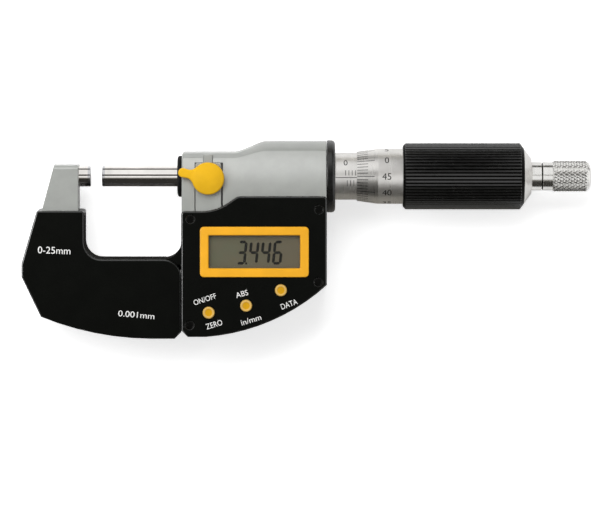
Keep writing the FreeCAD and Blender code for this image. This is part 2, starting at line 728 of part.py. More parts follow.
def button_membrane():
    """Rubber sheet with the switch domes, between the board and the buttons."""
    first = BUTTONS[0]
    last = BUTTONS[-1]
    angle = math.degrees(math.atan2(last[2] - first[2], last[1] - first[1]))
    length = math.hypot(last[1] - first[1], last[2] - first[2])
    half = BUTTON_R + BUTTON_FLANGE / 2
    sheet = box(-BUTTON_R, length + BUTTON_R, -half, half, BOARD_TOP, BOARD_TOP + MEMBRANE_T)
    sheet.rotate(ORIGIN, Z_AXIS, angle)
    sheet.translate(Vector(first[1], first[2], 0))
    top = UNIT_Z - UNIT_FACE_WALL - BUTTON_FLANGE_T - BUTTON_TRAVEL
    domes = [pin(DOME_R, x, y, BOARD_TOP, top - SEAT_GAP) for name, x, y in BUTTONS]
    return sheet.fuse(domes).removeSplitter()


def button(x, y):
    """Round yellow key with a dished orange centre and a flange under the panel."""
    top = UNIT_Z + BUTTON_PROUD
    flange_top = UNIT_Z - UNIT_FACE_WALL - PRESS_FIT
    body = pin(BUTTON_R, x, y, flange_top - BUTTON_FLANGE_T, top)
    body = body.makeChamfer(BUTTON_BEVEL, edges_at_z(body, top))
    flange = pin(BUTTON_R + BUTTON_FLANGE, x, y, flange_top - BUTTON_FLANGE_T, flange_top)
    return body.fuse(flange).cut(pin(BUTTON_DISH_R, x, y, top - BUTTON_DISH, top + OVER))


def anvil():
    return rod(SPINDLE_R, ARM_INNER_X - ANVIL_DEPTH, -TIP_LENGTH)


def hard_tip(face_x, direction):
    """Carbide disc with a small chamfer, its measuring face at face_x."""
    back = face_x + direction * TIP_LENGTH
    edge = face_x + direction * TIP_CHAMFER
    return turned([(face_x, 0), (face_x, SPINDLE_R - TIP_CHAMFER), (edge, SPINDLE_R),
                   (back, SPINDLE_R), (back, 0)])


def nut_end():
    return sleeve_end() + NUT_SPARE


def thimble_floor():
    """Inner end of the thimble's cavity, clear of the nut when the jaws are shut."""
    return nut_end() + OPENING + END_CLEARANCE


def spindle():
    """Ground spindle with its keyway, screw, taper seat and stop screw hole."""
    start = OPENING + TIP_LENGTH
    thread_start = nut_end() - NUT_THREAD_LENGTH - (RANGE - OPENING)
    taper_start = thimble_floor()
    taper_end = taper_start + TAPER_LENGTH
    body = turned([(start, 0), (start, SPINDLE_R), (thread_start - THREAD_LEAD, SPINDLE_R),
                   (thread_start, THREAD_R), (taper_start - THREAD_LEAD, THREAD_R),
                   (taper_start, TAPER_START_R), (taper_end, TAPER_END_R), (taper_end, 0)])
    groove_start = KEY_X - (RANGE - OPENING) - 3 * KEY_HALF
    groove_end = KEY_X + OPENING + 3 * KEY_HALF
    groove = box(groove_start, groove_end, -KEY_HALF, KEY_HALF,
                 -SPINDLE_R - OVER, -SPINDLE_R + KEY_DEPTH)
    hole = rod(STOP_SCREW_R, taper_end - STOP_HOLE, taper_end + OVER)
    return body.cut([groove, hole])


def thimble():
    """Chrome thimble with its graduated bevel and the solid end on the spindle taper."""
    edge_x = ZERO_X + OPENING
    bore = SLEEVE_R + SLIDE_FIT
    floor = thimble_floor()
    body = turned([(edge_x, bore), (edge_x, THIMBLE_EDGE_R), (edge_x + THIMBLE_BEVEL, THIMBLE_R),
                   (GRIP_RIGHT, THIMBLE_R), (GRIP_RIGHT, NOSE_PLUG_R),
                   (GRIP_RIGHT - NOSE_PLUG, NOSE_PLUG_R), (GRIP_RIGHT - NOSE_PLUG, TAPER_END_R),
                   (floor + TAPER_LENGTH, TAPER_END_R), (floor, TAPER_START_R), (floor, bore)])
    return body


def rib_wire(x, limit):
    """Ribbed outline of the grip across the axis at x, cut down to a largest radius."""
    points = []
    for rib in range(GRIP_RIBS):
        for share, radius in ((-0.3, GRIP_R), (0.3, GRIP_R), (0.5, GRIP_ROOT_R)):
            angle = (rib + share) * 2 * math.pi / GRIP_RIBS
            reach = min(radius, limit)
            points.append(Vector(x, reach * math.cos(angle), reach * math.sin(angle)))
    return Part.makePolygon(points + points[:1])


def thimble_grip():
    """Black ribbed grip pressed over the thimble, its ribs chamfered at both ends."""
    sections = [rib_wire(GRIP_LEFT, GRIP_R - GRIP_LEFT_CHAMFER),
                rib_wire(GRIP_LEFT + GRIP_LEFT_CHAMFER, GRIP_R),
                rib_wire(GRIP_RIGHT - GRIP_RIGHT_CHAMFER, GRIP_R),
                rib_wire(GRIP_RIGHT, GRIP_END_R)]
    body = Part.makeLoft(sections, True, True)
    return body.cut(rod(GRIP_BORE, GRIP_LEFT - OVER, GRIP_RIGHT + OVER))


def thimble_nose():
    """Chrome end cone, plugged into the thimble."""
    left = GRIP_RIGHT - NOSE_PLUG + SEAT_GAP
    plug = NOSE_PLUG_R - PRESS_FIT
    bore = STOP_SCREW_R + RUN_FIT
    return turned([(left, bore), (left, plug), (GRIP_RIGHT, plug), (GRIP_RIGHT, GRIP_END_R),
                   (NOSE_RIGHT, NOSE_R), (NOSE_RIGHT, bore)])


def stop_screw():
    """Screw on which the friction stop turns."""
    left = thimble_floor() + TAPER_LENGTH - STOP_HOLE + STOP_HOLE_SPARE
    head = KNOB_WALL_X + KNOB_WALL + RUN_FIT
    body = turned([(left, 0), (left, STOP_SCREW_R), (head, STOP_SCREW_R), (head, STOP_HEAD_R),
                   (head + STOP_HEAD_T, STOP_HEAD_R), (head + STOP_HEAD_T, 0)])
    slot = box(head + STOP_HEAD_T - STOP_SLOT, head + STOP_HEAD_T + OVER,
               -STOP_SLOT_HALF, STOP_SLOT_HALF, -STOP_HEAD_R, STOP_HEAD_R)
    return body.cut(slot)


def friction_washer():
    rim = KNOB_BORE_R - 2 * SEAT_GAP
    return ring(NOSE_RIGHT, NOSE_RIGHT + FRICTION_T, STOP_SCREW_R + RUN_FIT, rim)


def stop_spring():
    """Compression spring of square wire inside the knob."""
    start = NOSE_RIGHT + FRICTION_T + SPRING_WIRE + RUN_FIT
    end = KNOB_WALL_X - SPRING_WIRE - RUN_FIT
    length = end - start
    helix = Part.makeHelix(length / SPRING_TURNS, length, SPRING_R)
    half = SPRING_WIRE
    corners = [Vector(SPRING_R + x, 0, z) for x, z in
               ((-half, -half), (half, -half), (half, half), (-half, half), (-half, -half))]
    coil = Part.Wire(helix).makePipeShell([Part.makePolygon(corners)], True, True)
    coil.rotate(ORIGIN, Vector(0, 1, 0), 90)
    coil.translate(Vector(start, 0, 0))
    return coil


def stop_knob():
    """Knob with a plain grooved stem and a knurled head."""
    left = NOSE_RIGHT + RUN_FIT
    wall_end = KNOB_WALL_X + KNOB_WALL
    groove0 = STEM_GROOVE_X - STEM_GROOVE_W / 2
    groove1 = STEM_GROOVE_X + STEM_GROOVE_W / 2
    return turned([(left, KNOB_BORE_R), (left, STEM_R), (groove0, STEM_R), (groove0, STEM_GROOVE_R),
                   (groove1, STEM_GROOVE_R), (groove1, STEM_R), (KNOB_LEFT, STEM_R),
                   (KNOB_LEFT + KNOB_LEAD, KNOB_R), (KNOB_RIGHT, KNOB_R), (KNOB_RIGHT, KNOB_BORE_R),
                   (wall_end, KNOB_BORE_R), (wall_end, STOP_SCREW_R + RUN_FIT),
                   (KNOB_WALL_X, STOP_SCREW_R + RUN_FIT), (KNOB_WALL_X, KNOB_BORE_R)])


def knob_cap():
    """Domed disc that closes the knob."""
    left = KNOB_RIGHT - KNOB_CAP_PLUG
    plug = KNOB_BORE_R - PRESS_FIT
    rim = [(KNOB_RIGHT + rise * KNOB_DOME, KNOB_R - inset * KNOB_DOME)
           for rise, inset in KNOB_CAP_RIM]
    return turned([(left, 0), (left, plug), (KNOB_RIGHT, plug), (KNOB_RIGHT, KNOB_R)] + rim
                  + [(KNOB_RIGHT + KNOB_DOME, 0)])


def seal_cap():
    """Black cap screwed into the head round the spindle."""
    bore = SPINDLE_R + RUN_FIT
    inner = CAP_LEFT + CAP_LIP
    neck_end = HEAD_LEFT + CAP_NECK
    return turned([(CAP_LEFT, bore), (CAP_LEFT, CAP_R - CAP_BEVEL), (CAP_LEFT + CAP_BEVEL, CAP_R),
                   (HEAD_LEFT, CAP_R), (HEAD_LEFT, CAP_NECK_R), (neck_end, CAP_NECK_R),
                   (neck_end, WIPER_R), (inner, WIPER_R), (inner, bore)])


def spindle_wiper():
    bore = SPINDLE_R + RUN_FIT / 2
    left = CAP_LEFT + CAP_LIP
    return ring(left, left + WIPER_WIDTH, bore, WIPER_R)


def front_bush():
    """Guide bush of the spindle, with the cross hole of the lock."""
    left = HEAD_LEFT + CAP_NECK + SEAT_GAP
    body = ring(left, BUSH_END, SPINDLE_R + RUN_FIT, BUSH_R)
    return body.cut(pin(LOCK_PIN_R + RUN_FIT, LOCK_X, 0, 0, BUSH_R + OVER))


def lock_block():
    """Clamp block in the head's front pocket, with the tongue over its top edge."""
    body = lock_block_blank(0)
    tab_zone = box(TAB_LEFT - OVER, TAB_RIGHT + OVER, BLOCK_TOP, TAB_TOP + OVER, TAB_Z1, HEAD_Z + OVER)
    body = body.cut([tab_zone, pin(LOCK_PIN_R + RUN_FIT, LOCK_X, 0, 0, HEAD_Z + OVER)])
    return body.removeSplitter()


def shoe_top():
    return SPINDLE_R + RUN_FIT + SHOE_T


def lock_shoe():
    """Brass shoe that the lock presses on the spindle."""
    reach = 2 * LOCK_PIN_R
    body = pin(LOCK_PIN_R, LOCK_X, 0, SPINDLE_R / 2, shoe_top())
    return body.cut(rod(SPINDLE_R + RUN_FIT, LOCK_X - reach, LOCK_X + reach))


def lock_pin():
    return pin(LOCK_PIN_R, LOCK_X, 0, shoe_top() + RUN_FIT, HUB_Z0)


def lock_lever():
    """Yellow lever: a domed hub with a short pointer."""
    dome_r = (HUB_R ** 2 + HUB_RISE ** 2) / (2 * HUB_RISE)
    hub = pin(HUB_R, LOCK_X, 0, HUB_Z0, HUB_TOP_Z)
    hub = hub.common(Part.makeSphere(dome_r, Vector(LOCK_X, 0, HUB_TOP_Z - dome_r)))
    tip = POINTER_REACH - POINTER_R
    root = HUB_R - POINTER_SINK
    face = outline((0, -POINTER_ROOT), [
        (root, -POINTER_ROOT), (tip, -POINTER_R), ((POINTER_REACH, 0), (tip, POINTER_R)),
        (root, POINTER_ROOT), (0, POINTER_ROOT)])
    pointer = prism(face, HUB_Z0, HUB_EDGE_Z)
    pointer = pointer.makeChamfer(POINTER_BEVEL, edges_at_z(pointer, HUB_EDGE_Z))
    pointer.rotate(ORIGIN, Z_AXIS, POINTER_ANGLE)
    pointer.translate(Vector(LOCK_X, 0, 0))
    return hub.fuse(pointer).removeSplitter()


def encoder_stator():
    return ring(STATOR_X, STATOR_X + STATOR_T, THREAD_R + THREAD_RELIEF, CAVITY_R - RUN_FIT)


def encoder_rotor():
    """Code disc on its hub, driven by the key in the spindle."""
    bore = SPINDLE_R + RUN_FIT
    body = turned([(ROTOR_X, bore), (ROTOR_X, ROTOR_R), (ROTOR_X + ROTOR_DISC_T, ROTOR_R),
                   (ROTOR_X + ROTOR_DISC_T, ROTOR_HUB_R), (ROTOR_END, ROTOR_HUB_R), (ROTOR_END, bore)])
    return body.cut(box(KEY_X - KEY_HALF, KEY_X + KEY_HALF, -KEY_HALF, KEY_HALF, -ROTOR_HUB_R - OVER, 0))


def rotor_key():
    """Key that slides in the spindle's groove."""
    half = KEY_HALF - RUN_FIT
    return box(KEY_X - half, KEY_X + half, -half, half, -ROTOR_HUB_R, -SPINDLE_R + KEY_DEPTH - RUN_FIT)


def rotor_retainer():
    return ring(RETAINER_X, RETAINER_X + RETAINER_T, THREAD_R + THREAD_RELIEF, CAVITY_R - RUN_FIT)


def end_flange():
    """Black ring between the head and the sleeve."""
    body = ring(HEAD_RIGHT + SEAT_GAP, FLANGE_RIGHT, SLEEVE_R + PRESS_FIT, FLANGE_R)
    rims = [e for e in body.Edges
            if e.BoundBox.YMax > FLANGE_R - 1e-3 and e.BoundBox.XMin > FLANGE_RIGHT - 1e-3]
    return body.makeFillet(FLANGE_ROUND, rims)


def sleeve_end():
    return ZERO_X + RANGE + SLEEVE_SPARE


def sleeve():
    return ring(SLEEVE_LEFT, sleeve_end(), SLEEVE_BORE, SLEEVE_R)


def inner_sleeve():
    """Nut tube inside the sleeve, threaded at its far end."""
    outer = SLEEVE_BORE - PRESS_FIT
    clear = THREAD_R + THREAD_RELIEF
    fit = THREAD_R + RUN_FIT
    thread_x = nut_end() - NUT_THREAD_LENGTH
    return turned([(NUT_LEFT, clear), (NUT_LEFT, outer), (nut_end(), outer), (nut_end(), fit),
                   (thread_x, fit), (thread_x, clear)])


def adjusting_nut():
    return ring(sleeve_end() + SLIDE_FIT, nut_end(), SLEEVE_BORE, ADJUST_R)


def battery():
    top = -UNIT_Z + CAP_DEPTH + SEAT_GAP
    return pin(BATTERY_R, BATTERY_X, BATTERY_Y, top, top + BATTERY_T)


def battery_cup():
    """Plastic holder that centres the cell in the well."""
    top = -UNIT_Z + CAP_DEPTH + 3 * SEAT_GAP
    ring = pin(CAP_RADIUS, BATTERY_X, BATTERY_Y, top, -WEB_Z - SEAT_GAP)
    return ring.cut(pin(BATTERY_R + SEAT_GAP, BATTERY_X, BATTERY_Y, top - OVER, -WEB_Z + OVER))


def battery_cap():
    """Coin-slot cap, turned to release."""
    flange = pin(CAP_FLANGE_R, BATTERY_X, BATTERY_Y, -UNIT_Z, -UNIT_Z + CAP_FLANGE_T - RUN_FIT)
    plug = pin(CAP_RADIUS, BATTERY_X, BATTERY_Y, -UNIT_Z, -UNIT_Z + CAP_DEPTH)
    slot = box(BATTERY_X - COIN_SLOT_L / 2, BATTERY_X + COIN_SLOT_L / 2, BATTERY_Y - COIN_SLOT_W / 2,
               BATTERY_Y + COIN_SLOT_W / 2, -UNIT_Z - OVER, -UNIT_Z + COIN_SLOT_DEPTH)
    return flange.fuse(plug).cut(slot).removeSplitter()


def port_cover():
    face = rounded_rectangle(PORT_X, PORT_Y, PORT_W, PORT_H, PORT_R)
    body = prism(face, -UNIT_Z, -UNIT_Z + PORT_T)
    holes = []
    for y in port_screw_rows():
        recess = -UNIT_Z + PORT_HEAD_T + 2 * RUN_FIT
        holes.append(pin(PORT_HEAD_R + RUN_FIT, PORT_X, y, -UNIT_Z - OVER, recess))
        holes.append(pin(PORT_SCREW_R, PORT_X, y, -UNIT_Z - OVER, -UNIT_Z + PORT_T + OVER))
    return body.cut(holes)


def port_screws():
    top = UNIT_Z - RUN_FIT
    shank_r = PORT_SCREW_R - PRESS_FIT
    made = [flat_screw(PORT_X, y, top, PORT_HEAD_R, PORT_HEAD_T, shank_r, PORT_SCREW_LENGTH)
            for y in port_screw_rows()]
    return [flipped(s) for s in made]


def data_socket():
    """Contact block behind the port cover."""
    return prism(port_opening(0), -UNIT_Z + PORT_T, -WEB_Z)


def export(name, shape):
    solids = shape if isinstance(shape, list) else [shape]
    kept = []
    for solid in solids:
        kept.extend(solid.Solids)
    body = kept[0] if len(kept) == 1 else Part.makeCompound(kept)
    body.exportStep("parts/" + name + ".step")


def main():
    os.makedirs("parts", exist_ok=True)
    cover = bow_cover()
    screws = unit_screws()
    pieces = {
        "frame": frame(),
        "anvil": anvil(),
        "anvil_tip": hard_tip(0.0, -1),
        "front_cover": cover,
        "back_cover": flipped(cover),
        "seal_cap": seal_cap(),
        "spindle_wiper": spindle_wiper(),
        "front_bush": front_bush(),
        "lock_block": lock_block(),
        "lock_shoe": lock_shoe(),
        "lock_pin": lock_pin(),
        "lock_lever": lock_lever(),
        "encoder_stator": encoder_stator(),
        "encoder_rotor": encoder_rotor(),
        "rotor_key": rotor_key(),
        "rotor_retainer": rotor_retainer(),
        "end_flange": end_flange(),
        "sleeve": sleeve(),
        "inner_sleeve": inner_sleeve(),
        "adjusting_nut": adjusting_nut(),
        "spindle": spindle(),
        "spindle_tip": hard_tip(OPENING, 1),
        "thimble": thimble(),
        "thimble_grip": thimble_grip(),
        "thimble_nose": thimble_nose(),
        "stop_screw": stop_screw(),
        "friction_washer": friction_washer(),
        "stop_spring": stop_spring(),
        "stop_knob": stop_knob(),
        "knob_cap": knob_cap(),
        "front_panel": front_panel(),
        "back_shell": back_shell(),
        "unit_gasket": unit_gasket(),
        "panel_screws": screws,
        "back_screws": [flipped(s) for s in screws],
        "display_bezel": display_bezel(),
        "display_window": display_window(),
        "lcd_cell": lcd_cell(),
        "lcd_connectors": lcd_connectors(),
        "circuit_board": circuit_board(),
        "board_posts": board_posts(),
        "button_membrane": button_membrane(),
        "battery": battery(),
        "battery_cup": battery_cup(),
        "battery_cap": battery_cap(),
        "port_cover": port_cover(),
        "port_screws": port_screws(),
        "data_socket": data_socket(),
    }
    for name, x, y in BUTTONS:
        pieces["button_" + name] = button(x, y)
    for name, shape in pieces.items():
        export(name, shape)


main()
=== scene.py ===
import json
import math

import bmesh
import bpy
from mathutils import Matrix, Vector


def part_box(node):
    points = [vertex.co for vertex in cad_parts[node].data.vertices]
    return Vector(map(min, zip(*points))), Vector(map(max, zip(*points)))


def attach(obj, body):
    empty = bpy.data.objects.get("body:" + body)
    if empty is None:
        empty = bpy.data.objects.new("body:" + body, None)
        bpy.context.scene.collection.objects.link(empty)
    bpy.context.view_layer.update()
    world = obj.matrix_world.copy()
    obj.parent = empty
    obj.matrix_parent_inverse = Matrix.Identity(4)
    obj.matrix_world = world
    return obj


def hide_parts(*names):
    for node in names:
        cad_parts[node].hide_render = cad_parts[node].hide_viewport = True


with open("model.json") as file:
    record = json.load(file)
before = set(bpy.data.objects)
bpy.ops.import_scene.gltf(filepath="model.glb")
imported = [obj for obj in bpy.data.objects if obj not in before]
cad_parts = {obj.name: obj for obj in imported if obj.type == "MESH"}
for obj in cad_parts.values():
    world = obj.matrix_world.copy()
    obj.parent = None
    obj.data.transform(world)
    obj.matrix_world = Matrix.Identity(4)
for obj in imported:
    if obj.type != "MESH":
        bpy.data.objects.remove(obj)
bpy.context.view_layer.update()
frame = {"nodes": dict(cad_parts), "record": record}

# Looks of a digital outside micrometer that lies on its back. Lengths are in mm and
# are scaled once, where a mesh is made. X runs along the spindle, Z out of the display.

MM = 0.001
SMOOTH_ANGLE = math.radians(32)
ROUND_STEPS = 4
TURN_SEGMENTS = 128
# Pieces with more faces keep their plain normals
EVEN_LIMIT = 10000
EVEN_WEIGHT = 90


def span(node):
    """Lowest and highest corner of a CAD node in mm."""
    low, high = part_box(node)
    return low / MM, high / MM


TIP_LOW, TIP_HIGH = span("anvil_tip")
SPINDLE_R = TIP_HIGH.y
TIP_LENGTH = TIP_HIGH.x - TIP_LOW.x
OPENING = span("spindle_tip")[0].x
UNIT_Z = span("front_panel")[1].z
FLOOR_Z = -UNIT_Z
COVER_Z = span("front_cover")[1].z
# Left between the measuring faces when they close
CLOSED_GAP = 0.01
TIP_CHAMFER = 0.15

# Frame and covers
ARM_TOP = 3.55
ARM_INNER_X = -3.66
ARM_LEFT_X = -11.2
ARM_SLOPE = 0.27
ARM_HALF = 4.6
ARM_ROUND = 1.3
ARM_BULGE = ARM_ROUND * 0.293
ANVIL_SEAT_X = ARM_INNER_X - 5.5
THROAT_LEFT = -1.9
THROAT_RIGHT = 27.75
THROAT_FLOOR = -25.15
THROAT_R = 5.2
THROAT_BULGE = THROAT_R * (1 - math.cos(math.pi / 4))
SHOULDER = (-16.4, -10.3)
HEEL_HIGH = (-21.1, -26.5)
HEEL_LOW = (-21.1, -30.5)
TOE = (-15.2, -42.8)
BELLY_MID = (0.9, -47.7)
BELLY_END = (18.5, -49.55)
COVER_RIM = 1.7
WEB_Z = 5.2
JOINT_NOTCH = 2.0
SEAT_GAP = 0.1

# Head
HEAD_LEFT = 28.1
HEAD_RIGHT = 72.3
HEAD_LOW = -14.0
HEAD_Z = 11.0
HEAD_FLAT_Y = -6.0
CREASE_LEFT = 6.15
CREASE_RIGHT = 8.15
HEAD_TOP_LEFT = 7.4
HEAD_TOP_HALF = 6.0
BARREL_R = 10.87
SLOPE_START = 44.8
SLOPE_END = 52.8
BUSH_R = 5.2
BUSH_END = 52.0
CAVITY = (53.0, 64.0, 8.8)
SEAL_PLUG_R = 4.8
SEAL_BORE_R = 4.5

# Display unit
UNIT_LEFT = 27.95
UNIT_RIGHT = 72.4
UNIT_TOP_LOW = -10.0
UNIT_TOP_HIGH = -5.45
UNIT_CORNER = 1.1
SWEEP_START = 34.2
SWEEP_R = 14.0
SWEEP_ANGLE = math.radians(34.0)
SWEEP_TOP_R = 3.0
UNIT_SIDE_LOW = -32.6
UNIT_MID = (55.0, -43.75)
UNIT_BOTTOM = (35.5, -48.5)
UNIT_WALL = 1.6
UNIT_FACE_WALL = 1.8
UNIT_BEVEL = 0.6
GASKET_HALF = 0.4
BUTTONS = {"zero": (36.33, -40.97), "abs": (47.77, -38.83), "data": (58.38, -34.12)}
BUTTON_R = 1.8
SCREWS = [(30.8, -12.4), (70.0, -9.4), (69.8, -31.6), (30.5, -44.9)]
SCREW_HEAD_R = 1.3
SCREW_TOP = UNIT_Z - 0.4
SCREW_HEAD_T = 0.6
SCREW_SHANK_R = 0.8
SCREW_LENGTH = 8.0
BEZEL = (50.3, -22.4)
WINDOW = (27.8, 10.6)
BEZEL_SIZE = (33.2, 15.4)
WINDOW_TOP = 11.85
LCD_DROP = 0.72
LCD_BACK = 1.7
WINDOW_RIM = 1.2
WINDOW_T = 0.7
BATTERY = (43.5, -30.5)
BATTERY_R = 7.5
BATTERY_SEAT_R = 8.3
BATTERY_CAP_R = 8.2
BATTERY_NECK_R = 7.4
PORT = (62.0, -22.0)
PORT_SEAT = (9.2, 14.2)
PORT_COVER = (9.0, 14.0)
PORT_HOLE = (6.6, 7.0)
PORT_SCREW_Y = 5.2
# Head radius and height, shank radius and length
PORT_SCREW = (0.85, 0.4, 0.38, 1.3)

# Lock
LOCK_X = 36.2
HUB_R = 4.95
HUB_Z0 = 11.15
HUB_EDGE_Z = 12.9
HUB_TOP_Z = 14.0
POINTER_REACH = 9.3
POINTER_ANGLE = math.radians(167.0)
POINTER_R = 1.45
POINTER_ROOT = 2.1
BLOCK = (32.3, 40.2, -12.8, 4.6)
BLOCK_SLIT = 0.25
BLOCK_BED = 6.0
TAB = (34.8, 37.5)
TAB_SLIT = 0.12
TAB_BED = 7.0

# Sleeve, thimble, grip and stop
SLEEVE_R = 7.2
SLEEVE_BORE_R = 6.0
FLANGE_BORE_R = 7.22
ZERO_X = 78.15
RANGE = 25
THREAD_R = 3.5
THREAD_LENGTH = 16.0 + RANGE
TAIL = 9.0
TAIL_R = 3.3
TAIL_END_R = 2.8
KEYWAY = (36.7, 64.8)
KEYWAY_HALF = 0.5
KEYWAY_DEPTH = 0.7
THIMBLE_EDGE = ZERO_X + OPENING
THIMBLE_BEVEL = 6.45
THIMBLE_EDGE_R = 7.55
THIMBLE_R = 8.46
GRIP_LEFT = 95.75
GRIP_RIGHT = 132.9
GRIP_R = 10.18
GRIP_ROOT_R = 9.72
GRIP_END_R = 8.6
GRIP_CHAMFER = 0.85
GRIP_TAPER = 1.2
GRIP_RIBS = 60
NOSE_RIGHT = 135.2
NOSE_R = 5.4
NOSE_SEAT_R = 6.5
NOSE_SEAT_DEPTH = 4
NOSE_PLUG_R = 6.48
NOSE_PLUG_LENGTH = 3.9
STOP_SCREW_BORE_R = 1.55
STEM_R = 4.35
KNOB_LEFT = 141.7
KNOB_RIGHT = 152.4
KNOB_R = 4.76
KNOB_END = 153.7
KNURL_STARTS = 32
KNURL_LENGTH = 1.68
KNURL_DEPTH = 0.28
KNURL_STEPS = 8

# Scales and lettering. The drawn shapes start a little below the surface.
DIVISIONS = 50
CAP_HEIGHT = 0.69
INK_HEIGHT = 0.015
INK_SINK = 0.003
LABEL_SINK = 0.002


# Plane outlines

def arc(start, middle, end, step=4.0):
    """Points after start, up to end, on the circle through three points."""
    ax, ay = start
    bx, by = middle
    cx, cy = end
    scale = 2 * (ax * (by - cy) + bx * (cy - ay) + cx * (ay - by))
    sa = ax * ax + ay * ay
    sb = bx * bx + by * by
    sc = cx * cx + cy * cy
    ux = (sa * (by - cy) + sb * (cy - ay) + sc * (ay - by)) / scale
    uy = (sa * (cx - bx) + sb * (ax - cx) + sc * (bx - ax)) / scale
    radius = math.hypot(ax - ux, ay - uy)
    first = math.atan2(ay - uy, ax - ux)
    half = (math.atan2(by - uy, bx - ux) - first) % (2 * math.pi)
    sweep = (math.atan2(cy - uy, cx - ux) - first) % (2 * math.pi)
    if half > sweep:
        sweep -= 2 * math.pi
    count = max(2, math.ceil(abs(math.degrees(sweep)) / step))
    angles = [first + sweep * k / count for k in range(1, count + 1)]
    return [(ux + radius * math.cos(a), uy + radius * math.sin(a)) for a in angles]


def round_corner(before, at, after, radius, step=15.0):
    """Points that round one corner of a path."""
    at = Vector(at)
    one = (Vector(before) - at).normalized()
    two = (Vector(after) - at).normalized()
    half = one.angle(two) / 2
    cut = radius / math.tan(half)
    out = (one + two).normalized()
    middle = at + out * (radius / math.sin(half) - radius)
    first = at + one * cut
    return [tuple(first)] + arc(tuple(first), tuple(middle), tuple(at + two * cut), step)


def outline(items):
    """Closed path of corners (x, y) and rounded corners (x, y, r).

    ("via", x, y) bends the edge between its neighbours through that point.
    """
    points = []
    for i, item in enumerate(items):
        if item[0] == "via":
            continue
        before = items[i - 1]
        after = items[(i + 1) % len(items)]
        if len(item) == 3:
            points += round_corner(before[:2], item[:2], after[:2], item[2])
        else:
            points.append(item)
        if after[0] == "via":
            end = items[(i + 2) % len(items)]
            points += arc(item[:2], after[1:], end[:2])[:-1]
    kept = []
    for point in points:
        if not kept or math.dist(point, kept[-1]) > 1e-4:
            kept.append(tuple(point))
    return kept if signed_area(kept) > 0 else kept[::-1]


def signed_area(points):
    total = 0.0
    for i, (x, y) in enumerate(points):
        px, py = points[i - 1]
        total += px * y - x * py
    return total / 2


def inset(points, distance):
    """The closed path moved inwards, or outwards when distance is negative."""
    moved = []
    for i, point in enumerate(points):
        here = Vector(point)
        a = (here - Vector(points[i - 1])).normalized()
        b = (Vector(points[(i + 1) % len(points)]) - here).normalized()
        na = Vector((-a.y, a.x))
        nb = Vector((-b.y, b.x))
        moved.append(tuple(here + (na + nb) * (distance / (1 + na.dot(nb)))))
    return moved


def rectangle(x0, x1, y0, y1, radius=0.0):
    corners = [(x0, y0), (x1, y0), (x1, y1), (x0, y1)]
    return outline([c + (radius,) for c in corners] if radius else corners)


def centred(centre, width, height, radius):
    cx, cy = centre
    return rectangle(cx - width / 2, cx + width / 2, cy - height / 2, cy + height / 2, radius)


# Solids

def build(name, vertices, faces, finish=None):
    """Mesh object from points in mm, cleaned and shaded smooth up to SMOOTH_ANGLE."""
    mesh = bpy.data.meshes.new(name)
    mesh.from_pydata([Vector(v) * MM for v in vertices], [], faces)
    work = bmesh.new()
    work.from_mesh(mesh)
    bmesh.ops.remove_doubles(work, verts=work.verts, dist=1e-7)
    bmesh.ops.dissolve_degenerate(work, dist=1e-8, edges=work.edges)
    bmesh.ops.recalc_face_normals(work, faces=work.faces)
    work.to_mesh(mesh)
    work.free()
    piece = bpy.data.objects.new(name, mesh)
    bpy.context.scene.collection.objects.link(piece)
    if finish:
        mesh.materials.append(finish)
    shade(mesh)
    return piece


def shade(mesh):
    mesh.shade_smooth()
    mesh.set_sharp_from_angle(angle=SMOOTH_ANGLE)


def skin(rings, loop=False):
    """Vertices and faces over rings of equally many points, closed at both ends or in a loop."""
    count = len(rings[0])
    vertices = [p for ring in rings for p in ring]
    faces = []
    for k in range(len(rings) if loop else len(rings) - 1):
        a = k * count
        b = ((k + 1) % len(rings)) * count
        for i in range(count):
            j = (i + 1) % count
            faces.append((a + i, a + j, b + j, b + i))
    if not loop:
        last = (len(rings) - 1) * count
        faces.append(tuple(reversed(range(count))))
        faces.append(tuple(range(last, last + count)))
    return vertices, faces


def slab(name, points, z0, z1, finish=None, top=0.0, low=0.0):
    """Prism over a closed path, with rounded top and low edges."""
    rings = []
    for k in range(ROUND_STEPS + 1 if low else 1):
        a = math.pi / 2 * k / ROUND_STEPS
        rings.append([(x, y, z0 + low * (1 - math.cos(a)))
                      for x, y in inset(points, low * (1 - math.sin(a)))])
    for k in range(ROUND_STEPS + 1 if top else 1):
        a = math.pi / 2 * k / ROUND_STEPS
        rings.append([(x, y, z1 - top * (1 - math.sin(a)))
                      for x, y in inset(points, top * (1 - math.cos(a)))])
    return build(name, *skin(rings), finish)


def block(name, x0, x1, y0, y1, z0, z1, finish=None, top=0.0, low=0.0, corner=0.0):
    return slab(name, rectangle(x0, x1, y0, y1, corner), z0, z1, finish, top, low)


def bar_along(name, section, x0, x1):
    """Bar along X from a closed section of (y, z)."""
    points = outline(section)
    return build(name, *skin([[(x, y, z) for y, z in points] for x in (x0, x1)]))


def lathe(name, profile, finish=None, segments=TURN_SEGMENTS):
    """Turned solid on the spindle axis from a closed profile of (x, radius)."""
    rings = [ring(x, r, turns(segments)) for x, r in outline(profile)]
    return build(name, *skin(rings, loop=True), finish)


def turned_up(name, centre, profile, finish=None, segments=64):
    """Turned solid on an upright axis from a closed profile of (z, radius)."""
    cx, cy = centre
    rings = []
    for z, r in outline(profile):
        rings.append([(cx + r * math.cos(t), cy + r * math.sin(t), z) for t in turns(segments)])
    return build(name, *skin(rings, loop=True), finish)


def turns(count):
    return [2 * math.pi * k / count for k in range(count)]


def ring(x, radius, angles):
    """Circle of points round the spindle axis at x."""
    return [(x, radius * math.cos(t), radius * math.sin(t)) for t in angles]


